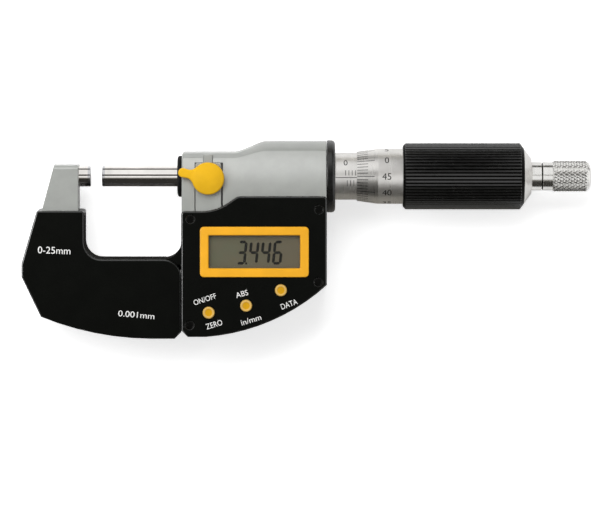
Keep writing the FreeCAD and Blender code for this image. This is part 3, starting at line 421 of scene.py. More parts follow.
def bake(piece):
    """Applies the piece's modifiers."""
    scene_state = bpy.context.evaluated_depsgraph_get()
    mesh = bpy.data.meshes.new_from_object(piece.evaluated_get(scene_state))
    old = piece.data
    piece.modifiers.clear()
    piece.data = mesh
    bpy.data.meshes.remove(old)
    shade(mesh)


def combine(piece, tools, operation):
    """Joins or cuts the piece with the tools, which are used up."""
    for tool in tools:
        step = piece.modifiers.new("step", "BOOLEAN")
        step.object = tool
        step.operation = operation
        step.solver = "EXACT"
    bake(piece)
    for tool in tools:
        mesh = tool.data
        bpy.data.objects.remove(tool)
        bpy.data.meshes.remove(mesh)
    return piece


def melt(piece, voxel, passes):
    """Remeshes a small moulded form, so that its joints and edges flow together."""
    grid = piece.modifiers.new("grid", "REMESH")
    grid.mode = "VOXEL"
    grid.voxel_size = voxel * MM
    calm = piece.modifiers.new("calm", "SMOOTH")
    calm.factor = 0.5
    calm.iterations = passes
    bake(piece)
    piece.data.shade_smooth()
    return piece


def joined(name, pieces):
    """One object from several."""
    first = pieces[0]
    work = bmesh.new()
    for piece in pieces:
        work.from_mesh(piece.data)
    work.to_mesh(first.data)
    work.free()
    for piece in pieces[1:]:
        bpy.data.objects.remove(piece)
    first.name = name
    shade(first.data)
    return first


def mirrored(name, piece):
    """A copy on the back, mirrored in the plane of the frame."""
    mesh = piece.data.copy()
    for vertex in mesh.vertices:
        vertex.co.z = -vertex.co.z
    mesh.flip_normals()
    twin = bpy.data.objects.new(name, mesh)
    bpy.context.scene.collection.objects.link(twin)
    return twin


def settle(piece, body, slot, *nodes):
    """Seats a finished piece on its body and hides the nodes that it replaces. The slot is not
    used.
    """
    if len(piece.data.polygons) < EVEN_LIMIT:
        even = piece.modifiers.new("even", "WEIGHTED_NORMAL")
        even.keep_sharp = True
        even.weight = EVEN_WEIGHT
    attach(piece, body)
    if nodes:
        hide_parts(*nodes)
    return piece


# Materials

def srgb(red, green, blue):
    """Linear colour from 0 to 255 values."""
    values = []
    for value in (red, green, blue):
        share = value / 255
        values.append(share / 12.92 if share <= 0.04045 else ((share + 0.055) / 1.055) ** 2.4)
    return tuple(values) + (1.0,)


class Finish:
    """A material's node tree with small helpers."""

    def __init__(self, name):
        self.material = bpy.data.materials.new(name)
        self.material.use_nodes = True
        self.tree = self.material.node_tree
        self.shader = self.tree.nodes["Principled BSDF"]
        self.place = self.node("TexCoord").outputs["Object"]

    def node(self, kind):
        return self.tree.nodes.new("ShaderNode" + kind)

    def split(self, vector):
        """Outputs X, Y and Z of a vector."""
        parts = self.node("SeparateXYZ")
        self.link(vector, parts.inputs["Vector"])
        return parts.outputs

    def set(self, **values):
        for name, value in values.items():
            self.shader.inputs[name.replace("_", " ")].default_value = value
        return self

    def link(self, output, target):
        self.tree.links.new(output, target)

    def grain(self, scale, stretch=(1, 1, 1), detail=3.0):
        """Noise with features of about 1/scale metres, stretched by axis."""
        mapping = self.node("Mapping")
        mapping.inputs["Scale"].default_value = stretch
        self.link(self.place, mapping.inputs["Vector"])
        noise = self.node("TexNoise")
        noise.inputs["Scale"].default_value = scale
        noise.inputs["Detail"].default_value = detail
        noise.inputs["Roughness"].default_value = 0.55
        self.link(mapping.outputs["Vector"], noise.inputs["Vector"])
        return noise.outputs["Fac"]

    def colours(self, factor, stops):
        """Colour from a factor through a ramp of (position, colour)."""
        ramp = self.node("ValToRGB")
        marks = ramp.color_ramp.elements
        while len(marks) < len(stops):
            marks.new(0.5)
        for mark, (position, colour) in zip(marks, stops):
            mark.position = position
            mark.color = colour
        self.link(factor, ramp.inputs["Fac"])
        self.link(ramp.outputs["Color"], self.shader.inputs["Base Color"])
        return self

    def ranged(self, factor, source, target):
        """The factor carried from one range into another."""
        spread = self.node("MapRange")
        names = ("From Min", "From Max", "To Min", "To Max")
        for name, value in zip(names, (*source, *target)):
            spread.inputs[name].default_value = value
        self.link(factor, spread.inputs["Value"])
        return spread.outputs["Result"]

    def rough(self, factor, low, high):
        self.link(self.ranged(factor, (0.3, 0.7), (low, high)), self.shader.inputs["Roughness"])
        return self

    def bump(self, factor, depth, strength=1.0):
        """Surface relief of depth mm."""
        relief = self.node("Bump")
        relief.inputs["Distance"].default_value = depth * MM
        relief.inputs["Strength"].default_value = strength
        self.link(factor, relief.inputs["Height"])
        self.link(relief.outputs["Normal"], self.shader.inputs["Normal"])
        return self


def tones(colour, spread):
    """Two close tones of one colour as ramp stops."""
    dark = tuple(c * (1 - spread) for c in colour[:3]) + (1.0,)
    light = tuple(min(1.0, c * (1 + spread)) for c in colour[:3]) + (1.0,)
    return [(0.35, dark), (0.65, light)]


def grained(name, colour, spread, rough, relief):
    """Finish with a fine spark-eroded grain."""
    f = Finish(name)
    f.colours(f.grain(160, detail=2), tones(colour, spread))
    f.rough(f.grain(400), *rough)
    return f.bump(f.grain(1800, detail=4), relief)


def moulded(name, colour, spread=0.06, rough=(0.34, 0.46), relief=0.004, specular=0.5):
    """Moulded plastic or rubber."""
    f = grained(name, colour, spread, rough, relief)
    return f.set(Specular_IOR_Level=specular).material


def levelness(f):
    """Output that is 1 on level faces and 0 on upright ones."""
    size = f.node("Math")
    size.operation = "ABSOLUTE"
    f.link(f.split(f.node("NewGeometry").outputs["Normal"])["Z"], size.inputs[0])
    return size.outputs["Value"]


def black_shell(name, colour, edge=1.0, flat=0.04):
    """Black moulding that is dull on its flat faces and catches light along its edges."""
    f = grained(name, colour, 0.12, (0.24, 0.32), 0.003)
    sheen = f.ranged(levelness(f), (0.90, 0.995), (edge, flat))
    f.set(Specular_IOR_Level=flat)
    f.link(sheen, f.shader.inputs["Specular IOR Level"])
    return f.material


def screw_steel(name):
    """Blackened steel coloured by facing: dark on the flat head and bright along its tilted edges,
    a painted highlight on the rim.
    """
    f = Finish(name)
    f.colours(levelness(f), [(0.90, srgb(128, 128, 124)), (0.985, srgb(18, 18, 17))])
    f.rough(f.grain(400), 0.2, 0.3)
    f.bump(f.grain(1800, detail=4), 0.002)
    return f.set(Metallic=1.0).material


def ribbed_black(name, colour):
    """Black anodised ribs with bright crests and dull grooves."""
    f = grained(name, colour, 0.12, (0.20, 0.28), 0.002)
    parts = f.split(f.place)
    across = f.node("CombineXYZ")
    for axis in "YZ":
        f.link(parts[axis], across.inputs[axis])
    radius = f.node("VectorMath")
    radius.operation = "LENGTH"
    f.link(across.outputs["Vector"], radius.inputs[0])
    depth = ((GRIP_ROOT_R + 0.2) * MM, (GRIP_R - 0.04) * MM)
    sheen = f.ranged(radius.outputs["Value"], depth, (0.02, 0.8))
    f.set(Specular_IOR_Level=0.3)
    f.link(sheen, f.shader.inputs["Specular IOR Level"])
    return f.material


def turned_metal(name, colour, rough, relief=0.002, turn=0.35):
    """Metal turned or ground on the spindle axis, with fine rings round it."""
    f = Finish(name)
    rings = f.grain(5200, stretch=(1.0, 0.01, 0.01), detail=3)
    f.colours(f.grain(120, detail=2), tones(colour, 0.08))
    f.rough(rings, *rough)
    f.bump(rings, relief, 0.6)
    around = f.node("Tangent")
    around.direction_type = "RADIAL"
    around.axis = "X"
    f.link(around.outputs["Tangent"], f.shader.inputs["Tangent"])
    return f.set(Metallic=1.0, Anisotropic=turn).material


def enamel():
    """Grey baked enamel with a faint orange peel."""
    f = Finish("grey_enamel")
    f.colours(f.grain(240, detail=4), tones(srgb(147, 149, 145), 0.04))
    f.rough(f.grain(500), 0.30, 0.38)
    f.bump(f.grain(900, detail=2), 0.008, 0.7)
    return f.set(Coat_Weight=0.5, Coat_Roughness=0.24, Specular_IOR_Level=0.5).material


def lcd_glass():
    """Grey-green display cell, a little warmer to the right."""
    f = Finish("lcd_cell_glass")
    low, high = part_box("lcd_cell")
    across = f.ranged(f.split(f.place)["X"], (low.x, high.x), (0.0, 1.0))
    mottle = f.grain(260, detail=2)
    blend = f.node("Math")
    blend.operation = "MULTIPLY_ADD"
    blend.inputs[1].default_value = 0.8
    f.link(across, blend.inputs[0])
    f.link(mottle, blend.inputs[2])
    f.colours(blend.outputs["Value"], [(0.35, srgb(97, 100, 80)), (1.2, srgb(104, 98, 80))])
    return f.set(Roughness=0.32, Specular_IOR_Level=0.4).material


def window_glass():
    f = Finish("window_clear")
    f.colours(f.grain(300, detail=2), tones(srgb(24, 25, 21), 0.05))
    f.rough(f.grain(500), 0.05, 0.09)
    return f.set(Alpha=0.06, Specular_IOR_Level=0.12).material


def ink(name, colour):
    f = Finish(name)
    f.colours(f.grain(2500, detail=2), tones(colour, 0.10))
    f.rough(f.grain(900), 0.45, 0.6)
    return f.material


def make_finishes():
    return {
        "grey_paint": enamel(),
        "black_cover": black_shell("black_cover_plastic", srgb(8, 9, 7)),
        "black_rubber": moulded("black_rubber", srgb(14, 14, 14), rough=(0.55, 0.7),
                                specular=0.15),
        "black_metal": black_shell("black_oxide", srgb(10, 10, 9), edge=0.7, flat=0.15),
        "black_grip": ribbed_black("black_anodised", srgb(11, 11, 10)),
        "satin_chrome": turned_metal("satin_chrome", srgb(232, 230, 227), (0.26, 0.34),
                                     turn=0.55),
        "bright_chrome": turned_metal("bright_chrome", srgb(232, 231, 228), (0.12, 0.20)),
        "ground_steel": turned_metal("ground_steel", srgb(235, 232, 228), (0.05, 0.10),
                                     relief=0.0006),
        "carbide": turned_metal("carbide", srgb(206, 206, 208), (0.12, 0.18)),
        "bronze": turned_metal("bronze", srgb(172, 120, 62), (0.28, 0.4)),
        "yellow_plastic": moulded("yellow_plastic", srgb(222, 172, 26), spread=0.05,
                                  rough=(0.36, 0.46), relief=0.003, specular=0.25),
        "clear_window": window_glass(),
        "lcd_grey": lcd_glass(),
        "green_board": moulded("green_board", srgb(28, 84, 50), rough=(0.3, 0.42)),
        "orange": moulded("orange_plastic", srgb(206, 152, 14), rough=(0.38, 0.5),
                          specular=0.25),
        "key": moulded("key_plastic", srgb(212, 172, 92), rough=(0.34, 0.44), specular=0.3),
        "bezel": moulded("bezel_plastic", srgb(236, 170, 36), spread=0.04, rough=(0.34, 0.42),
                         relief=0.003, specular=0.25),
        "white_ink": ink("white_ink", srgb(236, 236, 234)),
        "black_ink": ink("black_ink", srgb(14, 14, 14)),
        "segment_ink": ink("segment_ink", srgb(7, 8, 3)),
        # Near-black finish for the stop's groove: painted shade.
        "seam": moulded("seam_shadow", srgb(8, 8, 8), rough=(0.6, 0.7), specular=0.1),
        "screw": screw_steel("black_screw_steel"),
    }


# Outlines that several pieces share

def cover_outline(sharp=False):
    soft = () if sharp else (0.7,)
    return outline([
        SHOULDER + soft, (THROAT_LEFT, SHOULDER[1]) + soft,
        (THROAT_LEFT, THROAT_FLOOR, THROAT_R), (THROAT_RIGHT, THROAT_FLOOR, THROAT_R),
        (THROAT_RIGHT, BELLY_END[1] + JOINT_NOTCH), (THROAT_RIGHT - JOINT_NOTCH, BELLY_END[1]),
        BELLY_END, ("via",) + BELLY_MID, TOE, HEEL_LOW + soft, HEEL_HIGH + soft])


def unit_outline(sharp=False):
    soft = () if sharp else (UNIT_CORNER,)
    low_x = SWEEP_START + SWEEP_R * math.sin(SWEEP_ANGLE)
    low_y = UNIT_TOP_LOW + SWEEP_R * (1 - math.cos(SWEEP_ANGLE))
    half = SWEEP_ANGLE / 2
    low_middle = (SWEEP_START + SWEEP_R * math.sin(half),
                  UNIT_TOP_LOW + SWEEP_R * (1 - math.cos(half)))
    rise = UNIT_TOP_HIGH - SWEEP_TOP_R * (1 - math.cos(SWEEP_ANGLE)) - low_y
    top_x = low_x + rise / math.tan(SWEEP_ANGLE)
    centre_x = top_x + SWEEP_TOP_R * math.sin(SWEEP_ANGLE)
    top_middle = (centre_x - SWEEP_TOP_R * math.sin(half),
                  UNIT_TOP_HIGH - SWEEP_TOP_R * (1 - math.cos(half)))
    return outline([
        (UNIT_LEFT, UNIT_TOP_LOW) + soft, (SWEEP_START, UNIT_TOP_LOW), ("via",) + low_middle,
        (low_x, low_y), (top_x, low_y + rise), ("via",) + top_middle,
        (centre_x, UNIT_TOP_HIGH), (UNIT_RIGHT, UNIT_TOP_HIGH) + soft,
        (UNIT_RIGHT, UNIT_SIDE_LOW), ("via",) + UNIT_MID, UNIT_BOTTOM,
        (UNIT_LEFT + JOINT_NOTCH, UNIT_BOTTOM[1]), (UNIT_LEFT, UNIT_BOTTOM[1] + JOINT_NOTCH)])


# Frame

def head_front_radius():
    barrel_z = math.sqrt(BARREL_R ** 2 - CREASE_RIGHT ** 2)
    drop = HEAD_Z - barrel_z
    return ((CREASE_RIGHT - HEAD_FLAT_Y) ** 2 + drop ** 2) / (2 * drop)


def head_front_z(y):
    if y <= HEAD_FLAT_Y:
        return HEAD_Z
    radius = head_front_radius()
    return HEAD_Z - radius + math.sqrt(radius ** 2 - (y - HEAD_FLAT_Y) ** 2)


def head_section(x):
    """Closed section of the head at x as (y, z), with equally many points at any x."""
    share = 0.0
    for k in range(-3, 4):
        at = (x + 0.25 * k - SLOPE_START) / (SLOPE_END - SLOPE_START)
        share += min(1.0, max(0.0, at)) / 7
    crease = CREASE_LEFT + share * (CREASE_RIGHT - CREASE_LEFT)
    low_z = head_front_z(CREASE_LEFT)
    front = [(HEAD_LOW, HEAD_Z)]
    for k in range(13):
        y = HEAD_FLAT_Y + (crease - HEAD_FLAT_Y) * k / 13
        front.append((y, head_front_z(y)))
    edge = (crease, head_front_z(crease))
    first = math.acos(CREASE_RIGHT / BARREL_R)
    upper = []
    for k in range(1, 15):
        s = k / 14
        if s < 0.5:
            flat = (CREASE_LEFT + (HEAD_TOP_LEFT - CREASE_LEFT) * 2 * s,
                    low_z + (HEAD_TOP_HALF - low_z) * 2 * s)
        else:
            flat = (HEAD_TOP_LEFT, HEAD_TOP_HALF * (2 - 2 * s))
        bend = first * (1 - s)
        barrel = (BARREL_R * math.cos(bend), BARREL_R * math.sin(bend))
        upper.append(tuple(a + (b - a) * share for a, b in zip(flat, barrel)))
    top = upper[6]
    path = front + round_corner(front[-1], edge, upper[0], 0.45, 180.0)
    path += upper[:6] + round_corner(upper[5], top, upper[7], 0.35, 180.0) + upper[7:]
    return path + [(y, -z) for y, z in reversed(path[:-1])]


def head_solid():
    """Painted head: bulged front, crease, and the slope from the flat top to the barrel."""
    rings = []
    ends = [(HEAD_LEFT, 1, 0.5), (HEAD_RIGHT, -1, 0.2)]
    stations = []
    for x, side, radius in ends:
        for k in range(ROUND_STEPS + 1):
            a = math.pi / 2 * k / ROUND_STEPS
            stations.append((x + side * radius * (1 - math.cos(a)), radius * (1 - math.sin(a))))
    x = SLOPE_START - 1
    while x <= SLOPE_END + 1:
        stations.append((x, 0.0))
        x += 0.5
    for x, shrink in sorted(stations):
        section = head_section(x)
        if shrink > 0:
            turn = 1 if signed_area(section) > 0 else -1
            section = inset(section, turn * shrink)
        rings.append([(x, y, z) for y, z in section])
    return build("frame_looks", *skin(rings))


def make_frame(finishes):
    body = head_solid()
    left_low = ARM_LEFT_X - ARM_SLOPE * (ARM_TOP - SHOULDER[1])
    foot = SHOULDER[1] - 2 * COVER_RIM
    arm = slab("arm", outline([
        (ARM_INNER_X, foot), (ARM_INNER_X, ARM_TOP + 2), (ARM_LEFT_X + 2 * ARM_SLOPE, ARM_TOP + 2),
        (left_low, SHOULDER[1]), (left_low, foot)]), -ARM_HALF, ARM_HALF, top=0.35, low=0.35)
    crown = bar_along("crown", [
        (foot - 1, -ARM_HALF - 1), (ARM_TOP - ARM_ROUND, -ARM_HALF - 1),
        (ARM_TOP - ARM_ROUND, -ARM_HALF), ("via", ARM_TOP - ARM_BULGE,
                                           -ARM_HALF + ARM_BULGE),
        (ARM_TOP, -ARM_HALF + ARM_ROUND), (ARM_TOP, ARM_HALF - ARM_ROUND),
        ("via", ARM_TOP - ARM_BULGE, ARM_HALF - ARM_BULGE),
        (ARM_TOP - ARM_ROUND, ARM_HALF), (ARM_TOP - ARM_ROUND, ARM_HALF + 1),
        (foot - 1, ARM_HALF + 1)], left_low - 1, ARM_INNER_X + 1)
    combine(arm, [crown], "INTERSECT")
    bow = slab("bow", inset(cover_outline(sharp=True), COVER_RIM), -WEB_Z, WEB_Z)
    tongue = slab("tongue", inset(unit_outline(sharp=True), UNIT_WALL + SEAT_GAP), -WEB_Z, WEB_Z)
    bridge = block("bridge", THROAT_RIGHT - 2 * COVER_RIM, UNIT_LEFT + 2 * UNIT_WALL,
                   BELLY_END[1] + 2 * JOINT_NOTCH, THROAT_FLOOR - COVER_RIM, -WEB_Z, WEB_Z)
    floor_low = THROAT_FLOOR - 2 * COVER_RIM
    strip = slab("strip", outline([
        (THROAT_LEFT, floor_low), (THROAT_RIGHT, floor_low),
        (THROAT_RIGHT, THROAT_FLOOR + THROAT_R),
        ("via", THROAT_RIGHT - THROAT_BULGE, THROAT_FLOOR + THROAT_BULGE),
        (THROAT_RIGHT - THROAT_R, THROAT_FLOOR), (THROAT_LEFT + THROAT_R, THROAT_FLOOR),
        ("via", THROAT_LEFT + THROAT_BULGE, THROAT_FLOOR + THROAT_BULGE),
        (THROAT_LEFT, THROAT_FLOOR + THROAT_R)]), -WEB_Z, WEB_Z)
    combine(body, [arm, bow, tongue, bridge, strip], "UNION")
    bores = lathe("bores", [
        (HEAD_LEFT - 1, 0), (HEAD_LEFT - 1, BUSH_R), (BUSH_END, BUSH_R),
        (BUSH_END, SPINDLE_R + 1), (CAVITY[0], SPINDLE_R + 1), (CAVITY[0], CAVITY[2]),
        (CAVITY[1], CAVITY[2]), (CAVITY[1], SLEEVE_R), (HEAD_RIGHT + 1, SLEEVE_R),
        (HEAD_RIGHT + 1, 0)], segments=64)
    hole = lathe("hole", [(ANVIL_SEAT_X, 0), (ANVIL_SEAT_X, SPINDLE_R),
                          (ARM_INNER_X + 1, SPINDLE_R), (ARM_INNER_X + 1, 0)], segments=96)
    x0, x1, y0, y1 = BLOCK
    pocket = block("pocket", x0 - BLOCK_SLIT, x1 + 2 * BLOCK_SLIT, y0 - BLOCK_SLIT, y1 + 0.1,
                   BLOCK_BED, HEAD_Z + 1)
    tab = block("tab", TAB[0] - TAB_SLIT, TAB[1] + TAB_SLIT, y1 - 1, 9.0, TAB_BED, HEAD_Z + 1)
    combine(body, [bores, hole, pocket, tab], "DIFFERENCE")
    body.data.materials.clear()
    body.data.materials.append(finishes["grey_paint"])
    body.data.materials.append(finishes["black_cover"])
    # Faces of the throat's floor and its corners, between the covers, take the black finish
    # instead of the grey paint.
    for face in body.data.polygons:
        x, y, z = face.center / MM
        throat_floor_black = (THROAT_LEFT - 0.1 < x < THROAT_RIGHT + 0.1 and
                  floor_low - 0.1 < y < THROAT_FLOOR + THROAT_R + 0.1)
        face.material_index = int(throat_floor_black and abs(z) < WEB_Z + 0.1)
    settle(body, "frame", "grey_paint", "frame")


def make_lock_block(finishes):
    x0, x1, y0, y1 = BLOCK
    body = block("lock_block_looks", x0, x1, y0, y1, BLOCK_BED, HEAD_Z, finishes["grey_paint"],
                 top=0.25, corner=0.5)
    tongue = block("tongue", *TAB, y1 - 1, 7.2, TAB_BED, 9.0, top=0.3, corner=0.5)
    combine(body, [tongue], "UNION")
    settle(body, "frame", "grey_paint", "lock_block")


def make_covers(finishes):
    """Black covers on both sides of the bow, hollowed over the frame's web."""
    cover = slab("front_cover_looks", cover_outline(), SEAT_GAP / 2, COVER_Z,
                 finishes["black_cover"], top=0.55, low=0.1)
    web = slab("web", inset(cover_outline(sharp=True), COVER_RIM - SEAT_GAP), -1, WEB_Z + SEAT_GAP)
    strip = block("strip", THROAT_LEFT - 1, THROAT_RIGHT + 1,
                  THROAT_FLOOR - 2 * COVER_RIM - SEAT_GAP, THROAT_FLOOR + THROAT_R, -1,
                  WEB_Z + SEAT_GAP)
    bridge = block("bridge", THROAT_RIGHT - 2 * COVER_RIM - 1, THROAT_RIGHT + 1,
                   BELLY_END[1] + 2 * JOINT_NOTCH - SEAT_GAP, THROAT_FLOOR, -1, WEB_Z + SEAT_GAP)
    left_low = ARM_LEFT_X - ARM_SLOPE * (ARM_TOP - SHOULDER[1])
    arm = block("arm", left_low - SEAT_GAP, ARM_INNER_X + SEAT_GAP, SHOULDER[1] - 4, ARM_TOP,
                -1, ARM_HALF + SEAT_GAP)
    combine(cover, [web, strip, bridge, arm], "DIFFERENCE")
    back = mirrored("back_cover_looks", cover)
    settle(cover, "frame", "black_cover", "front_cover")
    settle(back, "frame", "black_cover", "back_cover")


# Measuring screw

def make_measuring_faces(finishes):
    """Anvil and spindle with their hard tips."""
    anvil = lathe("anvil_looks", [(ANVIL_SEAT_X, 0), (ANVIL_SEAT_X, SPINDLE_R),
                                  (-TIP_LENGTH, SPINDLE_R), (-TIP_LENGTH, 0)],
                  finishes["ground_steel"])
    settle(anvil, "frame", "ground_steel", "anvil")
    for name, face, side, body in (("anvil_tip", -CLOSED_GAP / 2, -1, "frame"),
                                   ("spindle_tip", OPENING + CLOSED_GAP / 2, 1, "spindle")):
        tip = lathe(name + "_looks", [
            (face, 0), (face, SPINDLE_R - TIP_CHAMFER, 0.04),
            (face + side * TIP_CHAMFER, SPINDLE_R, 0.04), (face + side * TIP_LENGTH, SPINDLE_R),
            (face + side * TIP_LENGTH, 0)], finishes["carbide"])
        settle(tip, body, "carbide", name)
    low, high = span("spindle")
    floor = high.x - TAIL
    thread = floor - THREAD_LENGTH
    spindle = lathe("spindle_looks", [
        (low.x, 0), (low.x, SPINDLE_R), (thread - 0.5, SPINDLE_R), (thread, THREAD_R),
        (floor - 0.5, THREAD_R), (floor, TAIL_R), (high.x, TAIL_END_R), (high.x, 0)],
        finishes["ground_steel"])
    groove = block("groove", *KEYWAY, -KEYWAY_HALF, KEYWAY_HALF, -SPINDLE_R - 1,
                   -SPINDLE_R + KEYWAY_DEPTH)
    combine(spindle, [groove], "DIFFERENCE")
    settle(spindle, "spindle", "ground_steel", "spindle")


def make_seal_cap(finishes):
    low, high = span("seal_cap")
    bore = SPINDLE_R + 0.05
    cap = lathe("seal_cap_looks", [
        (low.x, bore), (low.x, high.y - 0.7), (low.x + 0.25, high.y - 0.2, 0.2),
        (low.x + 0.5, high.y, 0.2), (HEAD_LEFT, high.y, 0.1), (HEAD_LEFT, SEAL_PLUG_R),
        (high.x, SEAL_PLUG_R), (high.x, SEAL_BORE_R), (low.x + 0.5, SEAL_BORE_R),
        (low.x + 0.5, bore)], finishes["black_rubber"])
    settle(cap, "frame", "black_rubber", "seal_cap")


def make_sleeve(finishes):
    low, high = span("sleeve")
    sleeve = lathe("sleeve_looks", [
        (low.x, SLEEVE_BORE_R), (low.x, SLEEVE_R), (high.x, SLEEVE_R, 0.2),
        (high.x, SLEEVE_BORE_R)], finishes["satin_chrome"])
    settle(sleeve, "frame", "satin_chrome", "sleeve")
    low, high = span("end_flange")
    flange = lathe("end_flange_looks", [
        (low.x, FLANGE_BORE_R), (low.x, high.y - 0.25), (low.x + 0.25, high.y, 0.15),
        (high.x, high.y, 1.15), (high.x, FLANGE_BORE_R, 0.3)], finishes["black_metal"])
    settle(flange, "frame", "black_metal", "end_flange")


def make_thimble(finishes):
    floor = span("spindle")[1].x - TAIL
    bore = SLEEVE_R + 0.15
    thimble = lathe("thimble_looks", [
        (THIMBLE_EDGE, bore, 0.05), (THIMBLE_EDGE, THIMBLE_EDGE_R, 0.06),
        (THIMBLE_EDGE + THIMBLE_BEVEL, THIMBLE_R, 3.0), (GRIP_RIGHT, THIMBLE_R),
        (GRIP_RIGHT, NOSE_SEAT_R), (GRIP_RIGHT - NOSE_SEAT_DEPTH, NOSE_SEAT_R),
        (GRIP_RIGHT - NOSE_SEAT_DEPTH, TAIL_END_R),
        (floor + TAIL, TAIL_END_R), (floor, TAIL_R), (floor, bore)], finishes["satin_chrome"])
    settle(thimble, "spindle", "satin_chrome", "thimble")
    plug = GRIP_RIGHT - NOSE_PLUG_LENGTH
    nose = lathe("thimble_nose_looks", [
        (plug, STOP_SCREW_BORE_R), (plug, NOSE_PLUG_R), (GRIP_RIGHT, NOSE_PLUG_R),
        (GRIP_RIGHT, GRIP_END_R), (NOSE_RIGHT, NOSE_R, 0.25), (NOSE_RIGHT, STOP_SCREW_BORE_R)],
        finishes["satin_chrome"])
    settle(nose, "spindle", "satin_chrome", "thimble_nose")


def grip_limit(x):
    """Largest radius of the grip at x, for its end chamfers."""
    left = GRIP_R - GRIP_CHAMFER + (x - GRIP_LEFT)
    right = GRIP_END_R + (GRIP_RIGHT - x) * (GRIP_R - GRIP_END_R) / GRIP_TAPER
    return min(GRIP_R, left, right)


def make_grip(finishes):
    """Black grip with rounded lengthwise ribs and a chamfer at each end."""
    rib = [(-0.50, 0.00), (-0.43, 0.04), (-0.36, 0.45), (-0.31, 0.85), (-0.25, 1.00),
           (0.00, 1.02), (0.25, 1.00), (0.31, 0.85), (0.36, 0.45), (0.43, 0.04)]
    stations = [GRIP_LEFT + GRIP_CHAMFER * k / 4 for k in range(5)]
    stations += [GRIP_RIGHT - GRIP_TAPER * k / 5 for k in range(5, -1, -1)]
    around = [(2 * math.pi * (n + share) / GRIP_RIBS, height)
              for n in range(GRIP_RIBS) for share, height in rib]
    rings = []
    for x in stations:
        radii = [min(GRIP_ROOT_R + (GRIP_R - GRIP_ROOT_R) * height, grip_limit(x))
                 for t, height in around]
        rings.append([(x, r * math.cos(t), r * math.sin(t))
                      for r, (t, height) in zip(radii, around)])
    bore = 8.5
    rings += [ring(x, bore, [t for t, height in around]) for x in (GRIP_RIGHT, GRIP_LEFT)]
    grip = build("thimble_grip_looks", *skin(rings, loop=True), finishes["black_grip"])
    settle(grip, "spindle", "black_grip", "thimble_grip")


def knurled_radius(x, t):
    """Radius of the knob's diamond knurl, which fades out at both ends."""
    around = t * KNURL_STARTS / (2 * math.pi)
    along = (x - KNOB_LEFT) / KNURL_LENGTH
    one = abs((around + along) % 1 - 0.5) * 2
    two = abs((around - along) % 1 - 0.5) * 2
    crest = KNOB_R - KNURL_DEPTH * max(0.0, max(one, two) - 0.1)
    lead = 0.35
    return min(crest, KNOB_R - lead + (x - KNOB_LEFT), KNOB_R - lead + (KNOB_RIGHT - x))


def make_stop(finishes):
    """Friction stop: plain grooved stem, knurled head and domed end."""
    left = NOSE_RIGHT + 0.05
    bore = 3.4
    groove = (138.35, 138.7)
    groove_r = 3.95
    edge = 0.08
    wall = (147.6, 149.4)
    profile = [(left, bore), (left, STEM_R - 0.15), (left + 0.15, STEM_R),
               (groove[0] - edge, STEM_R), (groove[0], STEM_R - edge),
               (groove[0], groove_r), (groove[1], groove_r), (groove[1], STEM_R - edge),
               (groove[1] + edge, STEM_R), (KNOB_LEFT, STEM_R)]
    tail = [(KNOB_RIGHT, bore), (wall[1], bore), (wall[1], STOP_SCREW_BORE_R),
            (wall[0], STOP_SCREW_BORE_R), (wall[0], bore)]
    around = turns(KNURL_STARTS * KNURL_STEPS)
    rings = [ring(x, r, around) for x, r in profile]
    rows = round((KNOB_RIGHT - KNOB_LEFT) / KNURL_LENGTH * KNURL_STEPS)
    for k in range(rows + 1):
        x = min(KNOB_LEFT + k * KNURL_LENGTH / KNURL_STEPS, KNOB_RIGHT)
        radii = [knurled_radius(x, t) for t in around]
        rings.append([(x, r * math.cos(t), r * math.sin(t)) for r, t in zip(radii, around)])
    rings += [ring(x, r, around) for x, r in tail]
    knob = build("stop_knob_looks", *skin(rings, loop=True), finishes["bright_chrome"])
    # The groove's faces take the near-black finish, painted shade in the groove.
    knob.data.materials.append(finishes["seam"])
    for face in knob.data.polygons:
        x, y, z = face.center / MM
        face.material_index = int(groove[0] - 0.02 < x < groove[1] + 0.02 and
                                  math.hypot(y, z) < STEM_R - 0.1)
    settle(knob, "stop", "satin_chrome", "stop_knob")
    cap = lathe("knob_cap_looks", [
        (KNOB_RIGHT - 0.9, 0), (KNOB_RIGHT - 0.9, 3.38), (KNOB_RIGHT, 3.38),
        (KNOB_RIGHT, KNOB_R - 0.35, 0.1), (KNOB_RIGHT + 0.65, KNOB_R - 0.75, 0.3),
        (KNOB_END - 0.25, KNOB_R - 1.7, 0.6), (KNOB_END, 0)], finishes["bright_chrome"])
    settle(cap, "stop", "satin_chrome", "knob_cap")


# Display unit

def unit_openings(head_top, web_top):
    """Cutters that open the unit's wall for the head and for the bow's bridge."""
    head = block("head", UNIT_LEFT - 1, UNIT_RIGHT + 1, HEAD_LOW - SEAT_GAP, BARREL_R, -1,
                 head_top)
    bridge = block("bridge", UNIT_LEFT - 1, UNIT_LEFT + 2 * UNIT_WALL,
                   BELLY_END[1] + 2 * JOINT_NOTCH - SEAT_GAP, THROAT_FLOOR - COVER_RIM + SEAT_GAP,
                   -1, web_top)
    return [head, bridge]


